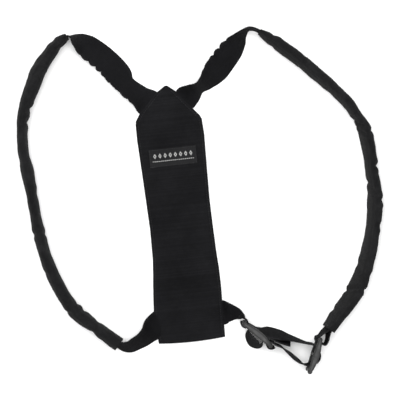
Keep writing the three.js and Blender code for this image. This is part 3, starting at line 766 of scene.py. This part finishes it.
def panel_ring(up, squeeze):
    """One ring round the panel at a share of its length. squeeze flattens it at the hem."""
    left, right = -panel_edge("left", up), panel_edge("right", up)
    middle, reach = (left + right) / 2, (right - left) / 2
    bevel = min(PANEL_BEVEL, reach / 3)
    fade = max(0, 1 - up / PANEL_OUTLINE[1]["up"])
    ring = []

    def put(x, z):
        hem = -HEM_BOW * (1 - (2 * x / PANEL_WIDTH) ** 2) * fade
        height = PANEL_RIM / 2 + (z - PANEL_RIM / 2) * squeeze
        ring.append((x, up * PANEL_LENGTH + hem, height))

    for share in np.linspace(-1, 1, BACK_COLUMNS):
        put(middle + share * (reach - bevel), 0)
    corner = [(math.sin(t), math.cos(t)) for t in np.radians([30, 60, 90])]
    for out, down in corner:
        put(right - bevel + bevel * out, bevel - bevel * down)
    for out, down in reversed(corner):
        put(right - bevel + bevel * out, PANEL_RIM - bevel + bevel * down)
    for share in np.sin(np.linspace(np.pi / 2, -np.pi / 2, PANEL_COLUMNS)):
        x = middle + share * (reach - bevel)
        put(x, panel_top(x, up * PANEL_LENGTH))
    for out, down in corner:
        put(left + bevel - bevel * out, PANEL_RIM - bevel + bevel * down)
    for out, down in reversed(corner):
        put(left + bevel - bevel * out, bevel - bevel * down)
    return ring


def panel_cuts():
    """Rings of the panel: share of its length and how far each is squeezed."""
    cuts = [(0, 0.5), (0.35 / PANEL_LENGTH, 0.87), (1.1 / PANEL_LENGTH, 1)]
    cuts += [(up, 1) for up in np.linspace(2.4 / PANEL_LENGTH, SHOULDER_UP, PANEL_RINGS)]
    cuts += [(up, 1) for up in np.linspace(SHOULDER_UP, 1, POINT_RINGS)[1:]]
    return cuts


def back_panel(material):
    rings = np.array([panel_ring(up, squeeze) for up, squeeze in panel_cuts()])
    flat = rings.reshape(-1, 3)
    points = np.array([on_panel(*p) for p in flat])
    faces = closed_faces(*rings.shape[:2])
    dip = np.array([panel_dip(x, y) for x, y, _ in flat])
    edge = np.array([edge_distance(x, y) for x, y, _ in flat])
    # The rim is lighter from wear; subtracting the creases' and dents' depth makes the mask negative
    # there, for painted shade in them
    wear_and_shade = np.exp(-edge / EDGE_WORN) - 0.9 * dip
    made = make_piece("padded_panel", points, faces, material, flat[:, :2], wear_and_shade)
    stands_for(made, "back_panel")


def panel_line(path):
    """A line on the padded face through points given across and up the panel."""
    corners = np.array(path, float)
    run = run_along(corners)
    at = np.arange(0, run[-1], 1.0)
    line = [on_panel(x, y, panel_top(x, y)) for x, y in points_at(at, run, corners)]
    return line, np.tile([0, 0, 1], (len(line), 1))


def seam_x(side, up, inset):
    """How far across the panel a line of stitches is, at a share of the panel's length."""
    sign = 1 if side == "right" else -1
    return sign * max(0, panel_edge(side, up) - inset)


def panel_stitching(material):
    """Stitches up both long edges, up both slanted edges and along the hem."""
    shells = []
    slant = SEAM_INSET * math.sqrt(2)
    tip = 1 - SEAM_INSET * 1.6 / PANEL_LENGTH
    climbs = (
        (SEAM_INSET, np.linspace(SEAM_INSET / PANEL_LENGTH, SHOULDER_UP, 40)),
        (slant, np.linspace(SHOULDER_UP + 0.012, tip, 12)),
    )
    for side in ("left", "right"):
        for inset, ups in climbs:
            line = [(seam_x(side, up, inset), up * PANEL_LENGTH) for up in ups]
            shells += stitches(*panel_line(line))
    hem = SEAM_INSET - HEM_BOW * 0.9
    ends = [seam_x(side, 3 / PANEL_LENGTH, SEAM_INSET) for side in ("left", "right")]
    shells += stitches(*panel_line([(ends[0], hem), (0, hem), (ends[1], hem)]))
    stitching("panel_stitching", shells, material)


# Label


def label_point(x, y, rise):
    return on_panel(LABEL_CENTRE[0] + x, LABEL_CENTRE[1] + y, label_floor(x, y) + rise)


def label_floor(x, y):
    """Height of the panel under the label, evened out as stiff cloth does."""
    heights = [
        panel_top(LABEL_CENTRE[0] + x + across, LABEL_CENTRE[1] + y + up)
        for across in (-4, 0, 4)
        for up in (-3, 3)
    ]
    return max(heights) + 0.1


def label_fold(away, half):
    """Share of the label's thickness at a distance from its middle line."""
    near = 1 - max(0, away - (half - LABEL_EDGE)) / LABEL_EDGE
    return LABEL_THIN + (1 - LABEL_THIN) * math.sqrt(near)


def panel_label(material):
    half_width, half_height = LABEL_WIDTH / 2, LABEL_HEIGHT / 2
    rings, flat = [], []
    for x in np.linspace(-half_width, half_width, LABEL_COLUMNS):
        thick = LABEL_THICK * label_fold(abs(x), half_width)
        ring = [(x, y, 0) for y in np.linspace(-half_height, half_height, LABEL_ROWS)]
        for y in np.linspace(half_height, -half_height, LABEL_ROWS):
            ring.append((x, y, thick * label_fold(abs(y), half_height)))
        rings.append([label_point(*p) for p in ring])
        flat += ring
    points = np.array(rings).reshape(-1, 3)
    faces = closed_faces(len(rings), len(ring))
    flat = np.array(flat)
    inward = np.maximum(np.abs(flat[:, 0]) - half_width, np.abs(flat[:, 1]) - half_height)
    wear_and_shade = np.clip(inward / LABEL_INSET + 1, 0, 1)
    made = make_piece("woven_label", points, faces, material, flat[:, :2], wear_and_shade)
    stands_for(made, "panel_label")


def label_stitching(material):
    x, y = LABEL_WIDTH / 2 - LABEL_INSET, LABEL_HEIGHT / 2 - LABEL_INSET
    corners = [(-x, -y), (x, -y), (x, y), (-x, y), (-x, -y)]
    shells = []
    for (x0, y0), (x1, y1) in zip(corners, corners[1:]):
        steps = np.linspace(0, 1, 30)
        line = [label_point(x0 + (x1 - x0) * s, y0 + (y1 - y0) * s, LABEL_THICK) for s in steps]
        shells += stitches(line, np.tile([0, 0, 1], (len(line), 1)))
    for bend in THREAD_ENDS:
        line = []
        for share in np.linspace(0, 1, 9):
            out = -x + bend["x"] + bend["reach"] * share
            up = -y + bend["y"] + bend["curl"] * share * share
            line.append(label_point(out, up, LABEL_THICK + 0.35))
        shells.append(tube(line, [THREAD_RADIUS] * len(line)))
    stitching("label_stitching", shells, material)


# Straps, sleeves and webbing


def elastic_wave(run, a, ruffle):
    """Small gathers along an elastic strap, strongest at its ruffled edge."""
    gather = np.sin(2 * np.pi * run / GATHER_PITCH + 1.4 * np.sin(run / 7)) * np.maximum(a, 0) ** 2
    cup = 0.5 * (1 - a**2) * np.sin(2 * np.pi * run / CUP_RUN)
    yarn = YARN_HIGH * np.sin(2 * np.pi * run / YARN_PITCH)
    return GATHER_HIGH * ruffle * gather + CUP_HIGH * cup + yarn


def webbing_wave(run, a, _):
    """The slight bow of stiff webbing, which has no ruffle."""
    return BOW_HIGH * (1 - a**2) * np.sin(2 * np.pi * run / BOW_RUN)


def wrinkles(dents, seed):
    """A function for the folds and dents of a padded sleeve."""

    def swell(run, place, a, b):
        depth = np.zeros((len(run), len(a)))
        for dent in dents:
            centre = np.interp(dent["at"], place, run)
            off = run[:, None] - centre - dent["slant"] * SLEEVE["width"] * a[None, :] / 2
            off /= dent["run"] * SLEEVE["width"]
            face = 1 if dent["side"] == 0 else np.clip(0.5 + dent["side"] * b[None, :] * 0.9, 0, 1)
            lip = np.exp(-((np.abs(off) - LIP_AWAY) ** 2))
            fold = np.exp(-off * off) - LIP_HIGH * lip
            depth -= dent["deep"] * SLEEVE["thick"] * fold * face
        for i, along in enumerate(run):
            for j in range(len(a)):
                broad = Vector((along / CRUMPLE_RUN + 0.25 * a[j], 1.5 * a[j] + seed, 1.2 * b[j]))
                fine = Vector((along / FINE_RUN + 0.6 * a[j], 2.2 * a[j], 2 * b[j] + seed))
                depth[i, j] += CRUMPLE_HIGH * noise.noise(broad) + FINE_HIGH * noise.noise(fine)
        seam = np.exp(-(((a - SLEEVE_SEAM_AT) / SLEEVE_SEAM_WIDE) ** 2)) * (b > 0)
        depth -= SLEEVE_SEAM_DEEP * seam[None, :]
        return depth

    return swell


def worn_edges(band):
    """Wear along the two edges of a band."""
    share = np.abs(band["section"][:, 0]) ** 10
    return np.tile(share, (len(band["run"]), 1))


def worn_sleeve(band):
    """Wear along the top and bottom edges of a sleeve, in patches."""
    share = np.abs(band["section"][:, 0]) ** 4
    patch = np.array([0.5 + 0.5 * noise.noise(Vector((run / PATCH_RUN, 3.3, 0))) for run in band["run"]])
    return np.outer(patch, share)


def bands(cloth):
    """All straps, sleeves and webbing."""
    elastic = tape_section(26, STRAP["thick"] / STRAP["width"])
    padded = padded_section(44, 2.5)
    tape = tape_section(18, WEBBING["thick"] / WEBBING["width"])
    made = {}
    for node, rows in (("left_shoulder_strap", LEFT_STRAP), ("right_shoulder_strap", RIGHT_STRAP)):
        made[node] = sweep(rows, STRAP, elastic, wave=elastic_wave)
        band_piece(node + "_elastic", made[node], cloth["elastic"], node, worn_edges)
    for node, rows, dents, seed in (
        ("left_sleeve", LEFT_SLEEVE, LEFT_DENTS, 4.2),
        ("right_sleeve", RIGHT_SLEEVE, RIGHT_DENTS, 9.1),
    ):
        made[node] = sweep(rows, SLEEVE, padded, swell=wrinkles(dents, seed))
        piece = node + "_padded"
        sleeve = band_piece(piece, made[node], cloth["sleeve"], node, worn_sleeve)
    for node, rows in (
        ("left_lower_webbing", LEFT_LOWER),
        ("tab_webbing", TAB),
        ("adjuster_webbing", ADJUSTER),
        ("right_sleeve_loop", END_LOOP),
    ):
        made[node] = sweep(rows, WEBBING, tape, wave=webbing_wave)
        band_piece(node + "_band", made[node], cloth["webbing"], node, worn_edges)
    return made


def band_stitching(made, material):
    """The sewn boxes of the webbing and the rows of stitches at the sleeves' mouths."""
    shells = []
    for side in (1, -1):
        shells += stitch_box(made["tab_webbing"], TAB_BOX, side)
        shells += stitch_box(made["adjuster_webbing"], ADJUSTER_BOX, side)
        for sleeve in ("left_sleeve", "right_sleeve"):
            whole = made[sleeve]["run"][-1]
            for run in (MOUTH_INSET, whole - MOUTH_INSET):
                shells += stitches(*cross_line(made[sleeve], run, -MOUTH_REACH, MOUTH_REACH, side))
    stitching("band_stitching", shells, material)


# Sliders


def cheek_ring(slider, inset, height):
    ring = []
    for i in range(CHEEK_POINTS):
        angle = 2 * math.pi * (i + 0.5) / CHEEK_POINTS
        reach_along = SLIDER_LENGTH / 2 - inset
        along = reach_along * math.copysign(abs(math.cos(angle)) ** CHEEK_BLUNT, math.cos(angle))
        belly = 1 - CHEEK_BELLY * abs(2 * along / SLIDER_LENGTH) ** 1.6
        back = math.sin(angle) < 0
        reach = -SLIDER_BACK + inset if back else (SLIDER_DEPTH - SLIDER_BACK) * belly - inset
        ring.append((*on_slider(slider, along, reach * abs(math.sin(angle)) ** 0.6), height))
    return ring


def cheek(slider, floor):
    """One of the two end plates of a slider, with rounded edges and a shallow dish in each face."""
    turn = np.radians([0, 22, 45, 68, 90])
    low = [(CHEEK_BEVEL * (1 - math.sin(t)), CHEEK_BEVEL * (1 - math.cos(t))) for t in turn]
    high = [(inset, CHEEK_THICK - rise) for inset, rise in reversed(low)]
    dish = [(inset, CHEEK_THICK - rise) for inset, rise in reversed(CHEEK_DISH)]
    shape = [*CHEEK_DISH, *low, *high, *dish]
    grid = np.array([cheek_ring(slider, inset, floor + rise) for inset, rise in shape])
    return grid.reshape(-1, 3), closed_faces(len(shape), CHEEK_POINTS)


def bar(slider, offset, radius, grooves):
    """A round bar between the cheeks, flared into them, with fine grip grooves if asked."""
    low = CHEEK_THICK - BAR_SUNK
    high = SLIDER_HEIGHT - low
    rings = []
    for step in range(BAR_RINGS + 1):
        share = 0.5 - 0.5 * math.cos(math.pi * step / BAR_RINGS)
        height = low + (high - low) * share
        flare = BAR_FLARE * math.exp(-min(height - low, high - height) / FLARE_RUN)
        ring = []
        for k in range(BAR_SIDES):
            angle = 2 * math.pi * k / BAR_SIDES
            reach = radius + flare - grooves * GROOVE_DEEP * (1 + math.cos(GROOVES * angle))
            place = on_slider(slider, offset + reach * math.cos(angle), reach * math.sin(angle))
            ring.append((*place, height))
        rings.append(ring)
    return np.array(rings).reshape(-1, 3), closed_faces(len(rings), BAR_SIDES)


def slider_piece(node, slider, material):
    shells = [cheek(slider, 0), cheek(slider, SLIDER_HEIGHT - CHEEK_THICK)]
    shells += [bar(slider, offset, BAR_RADIUS, 0) for offset in (-BAR_OFFSET, BAR_OFFSET)]
    shells.append(bar(slider, 0, MIDDLE_BAR_RADIUS, 1))
    points, faces = join_shells(shells)
    height = points[:, 2]
    half = CHEEK_THICK / 2
    rim = np.minimum(np.abs(height - half), np.abs(height - SLIDER_HEIGHT + half))
    wear_and_shade = np.clip(1 - np.abs(rim - half + RIM_WORN) / RIM_WORN, 0, 1)
    made = make_piece(node + "_moulding", points, faces, material, None, wear_and_shade)
    stands_for(made, node)


# Shader nodes


def attach(tree, value, socket):
    if isinstance(value, bpy.types.NodeSocket):
        tree.links.new(value, socket)
    else:
        socket.default_value = value


def math_node(tree, operation, *values):
    made = tree.nodes.new("ShaderNodeMath")
    made.operation = operation
    for value, socket in zip(values, made.inputs):
        attach(tree, value, socket)
    return made.outputs[0]


def times(tree, first, second):
    return math_node(tree, "MULTIPLY", first, second)


def noise_node(tree, vector, scale, detail=3.0, rough=0.5):
    made = tree.nodes.new("ShaderNodeTexNoise")
    attach(tree, vector, made.inputs["Vector"])
    made.inputs["Scale"].default_value = scale
    made.inputs["Detail"].default_value = detail
    made.inputs["Roughness"].default_value = rough
    return made.outputs["Fac"]


def range_node(tree, value, low, high, out_low=0.0, out_high=1.0):
    made = tree.nodes.new("ShaderNodeMapRange")
    for socket, number in zip(made.inputs, (value, low, high, out_low, out_high)):
        attach(tree, number, socket)
    return made.outputs[0]


def mix_node(tree, factor, first, second):
    made = tree.nodes.new("ShaderNodeMix")
    made.data_type = "RGBA"
    for index, value in ((0, factor), (6, first), (7, second)):
        attach(tree, value, made.inputs[index])
    return made.outputs[2]


def split_node(tree, vector):
    made = tree.nodes.new("ShaderNodeSeparateXYZ")
    attach(tree, vector, made.inputs[0])
    return made.outputs[0], made.outputs[1]


def group_of(name, vector, numbers, results):
    """A new group of shader nodes with its sockets: its tree, what goes in and what comes out."""
    tree = bpy.data.node_groups.new(name, "ShaderNodeTree")
    tree.interface.new_socket(name=vector, in_out="INPUT", socket_type="NodeSocketVector")
    for way, titles in (("INPUT", numbers), ("OUTPUT", results)):
        for title in titles:
            tree.interface.new_socket(name=title, in_out=way, socket_type="NodeSocketFloat")
    start = tree.nodes.new("NodeGroupInput")
    end = tree.nodes.new("NodeGroupOutput")
    return tree, start.outputs, end.inputs


def use_group(tree, group, **values):
    made = tree.nodes.new("ShaderNodeGroup")
    made.node_tree = group
    for name, value in values.items():
        attach(tree, value, made.inputs[name])
    return made.outputs


def rounded(tree, count):
    """The round back of a thread, rising and falling once for each whole count."""
    return math_node(tree, "ABSOLUTE", math_node(tree, "SINE", times(tree, count, math.pi)))


def weave_group():
    """Plain weave: raised threads over and under each other, with a tone for each thread."""
    tree, given, result = group_of("weave", "Map", ("Along", "Across"), ("Height", "Thread"))
    u, v = split_node(tree, given["Map"])
    u = math_node(tree, "DIVIDE", u, given["Along"])
    v = math_node(tree, "DIVIDE", v, given["Across"])
    warp = rounded(tree, u)
    weft = rounded(tree, v)
    cells = math_node(tree, "ADD", math_node(tree, "FLOOR", u), math_node(tree, "FLOOR", v))
    over = math_node(tree, "PINGPONG", cells, 1.0)
    under = math_node(tree, "SUBTRACT", 1.0, over)
    height = math_node(tree, "ADD", times(tree, warp, over), times(tree, weft, under))
    attach(tree, height, result["Height"])
    pick = tree.nodes.new("ShaderNodeTexWhiteNoise")
    pick.noise_dimensions = "1D"
    attach(tree, math_node(tree, "FLOOR", v), pick.inputs["W"])
    attach(tree, pick.outputs["Value"], result["Thread"])
    return tree


def rib_group():
    """Ribs that run along a band, each crossed by slanting picks."""
    tree, given, result = group_of("ribs", "Map", ("Rib", "Pick"), ("Height",))
    u, v = split_node(tree, given["Map"])
    ribs = math_node(tree, "DIVIDE", v, given["Rib"])
    round_rib = rounded(tree, ribs)
    slant = math_node(tree, "PINGPONG", ribs, 1.0)
    picks = math_node(tree, "ADD", math_node(tree, "DIVIDE", u, given["Pick"]), slant)
    wave = math_node(tree, "SINE", times(tree, picks, 2 * math.pi))
    soft = math_node(tree, "POWER", round_rib, 0.6)
    ripple = range_node(tree, wave, -1.0, 1.0, 0.7, 1.0)
    attach(tree, times(tree, soft, ripple), result["Height"])
    return tree


def tone_group():
    """Uneven dye, fine mottling and specks of lint, from the place on the object in metres."""
    tree, given, result = group_of("tone", "Place", ("Worn",), ("Shade", "Lint", "Wear"))
    place = given["Place"]
    broad = noise_node(tree, place, 22.0, 2.0)
    fine = noise_node(tree, place, 170.0, 4.0, 0.6)
    both = math_node(tree, "ADD", times(tree, broad, 0.65), times(tree, fine, 0.35))
    attach(tree, range_node(tree, both, 0.3, 0.7, 0.7, 1.3), result["Shade"])
    specks = noise_node(tree, place, 900.0, 1.0)
    attach(tree, range_node(tree, specks, 0.745, 0.8), result["Lint"])
    patchy = range_node(tree, noise_node(tree, place, 90.0, 3.0, 0.6), 0.35, 0.65)
    attach(tree, times(tree, given["Worn"], patchy), result["Wear"])
    return tree


# Materials


def start_material(name):
    """A new material: its tree, its shader, the cloth map in mm, the place and the mask of wear, which
    on the panel also holds painted shade in its creases and dents.
    """
    made = bpy.data.materials.new(name)
    made.use_nodes = True
    tree = made.node_tree
    shader = tree.nodes["Principled BSDF"]
    maps = tree.nodes.new("ShaderNodeUVMap")
    maps.uv_map = "cloth"
    place = tree.nodes.new("ShaderNodeTexCoord").outputs["Object"]
    wear_and_shade = tree.nodes.new("ShaderNodeAttribute")
    wear_and_shade.attribute_name = "wear_and_shade"
    return made, tree, shader, maps.outputs[0], place, wear_and_shade.outputs["Fac"]


def relief(tree, shader, height, distance):
    bump = tree.nodes.new("ShaderNodeBump")
    bump.inputs["Strength"].default_value = RELIEF_STRENGTH
    bump.inputs["Distance"].default_value = distance * MM
    attach(tree, height, bump.inputs["Height"])
    tree.links.new(bump.outputs[0], shader.inputs["Normal"])


def surface(shader, rough, shine):
    shader.inputs["Roughness"].default_value = rough
    shader.inputs["Specular IOR Level"].default_value = shine


def finish_cloth(made, shader, tone, thread, height):
    """Gives a cloth its finish: the dye in uneven shade times the thread factor, which holds painted
    shade in the weave's hollows and, on the panel, in its creases, faded by wear, with specks of lint.
    """
    tree = made.node_tree
    finish = next(row for row in FINISHES if row["cloth"] == made.name)
    shade = times(tree, tone["Shade"], thread)
    dark = tree.nodes.new("ShaderNodeVectorMath")
    dark.operation = "SCALE"
    dark.inputs[0].default_value = finish["dye"]
    attach(tree, shade, dark.inputs["Scale"])
    faded = mix_node(tree, times(tree, tone["Wear"], finish["wear"]), dark.outputs[0], FADED)
    specked = mix_node(tree, times(tree, tone["Lint"], finish["lint"]), faded, LINT)
    attach(tree, specked, shader.inputs["Base Color"])
    surface(shader, finish["rough"], finish["shine"])
    relief(tree, shader, height, finish["relief"])
    return specked


def panel_cloth(groups):
    made, tree, shader, maps, place, wear_and_shade = start_material("panel_cloth")
    weave = use_group(tree, groups["weave"], Map=maps, Along=0.62, Across=0.55)
    tone = use_group(tree, groups["tone"], Place=place, Worn=wear_and_shade)
    # Painted shade: the cloth darkens to 0.72 of its colour in the panel's creases and dents
    crease_shade = range_node(tree, wear_and_shade, -1.6, 0.0, 0.72, 1.0)
    thread = range_node(tree, weave["Thread"], 0.0, 1.0, 0.8, 1.16)
    # Painted shade: darker in the hollows between threads, lighter on their crests
    height = range_node(tree, weave["Height"], 0.0, 1.0, 0.6, 1.28)
    cloth = times(tree, times(tree, thread, height), crease_shade)
    finish_cloth(made, shader, tone, cloth, weave["Height"])
    shader.inputs["Sheen Weight"].default_value = 0.01
    return made


def ornament(tree, maps):
    """Where the label's ink is: a row of hollow diamonds over a broken line."""
    u, v = split_node(tree, maps)
    half_pitch = DIAMOND_PITCH / 2
    cell = math_node(tree, "SUBTRACT", half_pitch, math_node(tree, "PINGPONG", u, half_pitch))
    rise = math_node(tree, "ABSOLUTE", math_node(tree, "SUBTRACT", v, DIAMOND_UP))
    out = math_node(tree, "DIVIDE", cell, DIAMOND_PITCH * 0.3)
    reach = math_node(tree, "ADD", out, math_node(tree, "DIVIDE", rise, DIAMOND_HIGH / 2))
    hollow = math_node(tree, "GREATER_THAN", reach, DIAMOND_HOLLOW)
    diamond = times(tree, math_node(tree, "LESS_THAN", reach, 1.0), hollow)
    dash = math_node(tree, "LESS_THAN", math_node(tree, "PINGPONG", u, DASH_PITCH), DASH_LONG)
    away = math_node(tree, "ABSOLUTE", math_node(tree, "ADD", v, DIAMOND_UP * 1.6))
    line = times(tree, dash, math_node(tree, "LESS_THAN", away, LINE_HALF))
    inside = math_node(tree, "LESS_THAN", math_node(tree, "ABSOLUTE", u), ORNAMENT_WIDTH / 2)
    return times(tree, math_node(tree, "MAXIMUM", diamond, line), inside)


def label_cloth(groups):
    """Satin-woven label with its plain ornament."""
    made, tree, shader, maps, place, wear_and_shade = start_material("label_cloth")
    weave = use_group(tree, groups["weave"], Map=maps, Along=0.34, Across=0.26)
    tone = use_group(tree, groups["tone"], Place=place, Worn=wear_and_shade)
    # Painted shade: darker in the hollows between the label's threads
    thread = range_node(tree, weave["Height"], 0.0, 1.0, 0.8, 1.15)
    ground = finish_cloth(made, shader, tone, thread, weave["Height"])
    ink = times(tree, ornament(tree, maps), range_node(tree, weave["Height"], 0.1, 0.8))
    attach(tree, mix_node(tree, ink, ground, GREY_INK), shader.inputs["Base Color"])
    return made


def ribbed_cloth(groups, name, rib, pick, groove_shade):
    """A woven band: width of its ribs, length of its picks, and the painted shade from groove to crest,
    darker in the grooves.
    """
    made, tree, shader, maps, place, wear_and_shade = start_material(name)
    ribs = use_group(tree, groups["ribs"], Map=maps, Rib=rib, Pick=pick)
    tone = use_group(tree, groups["tone"], Place=place, Worn=wear_and_shade)
    # Painted shade: darker in the grooves between the ribs
    thread = range_node(tree, ribs["Height"], 0.0, 1.0, *groove_shade)
    finish_cloth(made, shader, tone, thread, ribs["Height"])
    return made


def elastic_cloth(groups):
    return ribbed_cloth(groups, "elastic_cloth", 1.05, 1.3, (0.5, 1.35))


def sleeve_cloth(groups):
    made, tree, shader, maps, place, wear_and_shade = start_material("sleeve_cloth")
    knit = use_group(tree, groups["ribs"], Map=maps, Rib=0.9, Pick=0.8)
    tone = use_group(tree, groups["tone"], Place=place, Worn=wear_and_shade)
    fuzz = noise_node(tree, place, 420.0, 4.0, 0.7)
    # Painted shade: darker in the hollows between the knit's loops; the fuzz is a random tone
    loops = range_node(tree, knit["Height"], 0.0, 1.0, 0.6, 1.22)
    thread = times(tree, loops, range_node(tree, fuzz, 0.3, 0.7, 0.75, 1.25))
    finish_cloth(made, shader, tone, thread, math_node(tree, "ADD", knit["Height"], fuzz))
    shader.inputs["Sheen Weight"].default_value = 0.02
    shader.inputs["Sheen Roughness"].default_value = 0.6
    return made


def webbing_cloth(groups):
    return ribbed_cloth(groups, "webbing_cloth", 2.0, 1.6, (0.45, 1.45))


def sewing_thread():
    made, tree, shader, _, place, _ = start_material("sewing_thread")
    twist = noise_node(tree, place, 1500.0, 2.0)
    colour = mix_node(tree, range_node(tree, twist, 0.35, 0.65), THREAD_DARK, THREAD_LIGHT)
    attach(tree, colour, shader.inputs["Base Color"])
    surface(shader, 0.5, 0.1)
    relief(tree, shader, twist, 0.05)
    return made


def slider_plastic(groups):
    """Grey moulded plastic: fine moulding grain, scuffs, and edges rubbed lighter by the webbing."""
    made, tree, shader, _, place, wear_and_shade = start_material("slider_plastic")
    tone = use_group(tree, groups["tone"], Place=place, Worn=wear_and_shade)
    grain = noise_node(tree, place, 2600.0, 3.0, 0.6)
    scuff = range_node(tree, noise_node(tree, place, 240.0, 5.0, 0.7), 0.52, 0.66)
    base = mix_node(tree, range_node(tree, tone["Shade"], 0.78, 1.22), PLASTIC_DARK, PLASTIC_LIGHT)
    rubbed = mix_node(tree, times(tree, tone["Wear"], 0.7), base, PLASTIC_RUBBED)
    scuffed = mix_node(tree, times(tree, scuff, 0.25), rubbed, PLASTIC_RUBBED)
    attach(tree, scuffed, shader.inputs["Base Color"])
    attach(tree, range_node(tree, scuff, 0.0, 1.0, 0.42, 0.6), shader.inputs["Roughness"])
    shader.inputs["Specular IOR Level"].default_value = 0.15
    relief(tree, shader, grain, 0.04)
    return made


def floor_paint():
    made, tree, shader, _, place, _ = start_material("pale_floor")
    tint = range_node(tree, noise_node(tree, place, 3.0, 2.0), 0.0, 1.0, 0.93, 0.97)
    attach(tree, mix_node(tree, tint, BLACK, WHITE), shader.inputs["Base Color"])
    surface(shader, 1.0, 0.0)
    return made


# Camera, light and floor


def camera():
    lens = bpy.data.cameras.new("camera")
    lens.lens = LENS
    lens.clip_end = 20
    made = bpy.data.objects.new("camera", lens)
    made.location = (ORIGIN[0] * MM, ORIGIN[1] * MM, CAMERA_HEIGHT * MM)
    bpy.context.scene.collection.objects.link(made)
    bpy.context.scene.camera = made


def studio():
    bpy.context.scene.view_settings.view_transform = "Standard"
    world = bpy.data.worlds.new("studio")
    bpy.context.scene.world = world
    world.use_nodes = True
    world.node_tree.nodes["Background"].inputs["Color"].default_value = WHITE
    world.node_tree.nodes["Background"].inputs["Strength"].default_value = WORLD_STRENGTH
    for name, place, size, power in SOFT_LIGHTS:
        light = bpy.data.lights.new(name, "AREA")
        light.size = size
        light.energy = power
        made = bpy.data.objects.new(name, light)
        made.location = place
        made.rotation_euler = (Vector((0, 0, 0)) - Vector(place)).to_track_quat("-Z", "Y").to_euler()
        bpy.context.scene.collection.objects.link(made)
    bpy.ops.mesh.primitive_plane_add(size=9, location=(0, 0, -0.0003))
    floor = bpy.context.object
    floor.name = "floor"
    floor.data.materials.append(floor_paint())


def build():
    groups = {"weave": weave_group(), "ribs": rib_group(), "tone": tone_group()}
    cloth = {
        "elastic": elastic_cloth(groups),
        "sleeve": sleeve_cloth(groups),
        "webbing": webbing_cloth(groups),
    }
    thread = sewing_thread()
    plastic = slider_plastic(groups)
    back_panel(panel_cloth(groups))
    panel_stitching(thread)
    panel_label(label_cloth(groups))
    label_stitching(thread)
    made = bands(cloth)
    band_stitching(made, thread)
    slider_piece("left_slider", LEFT_SLIDER, plastic)
    slider_piece("right_slider", RIGHT_SLIDER, plastic)


camera()
studio()
build()
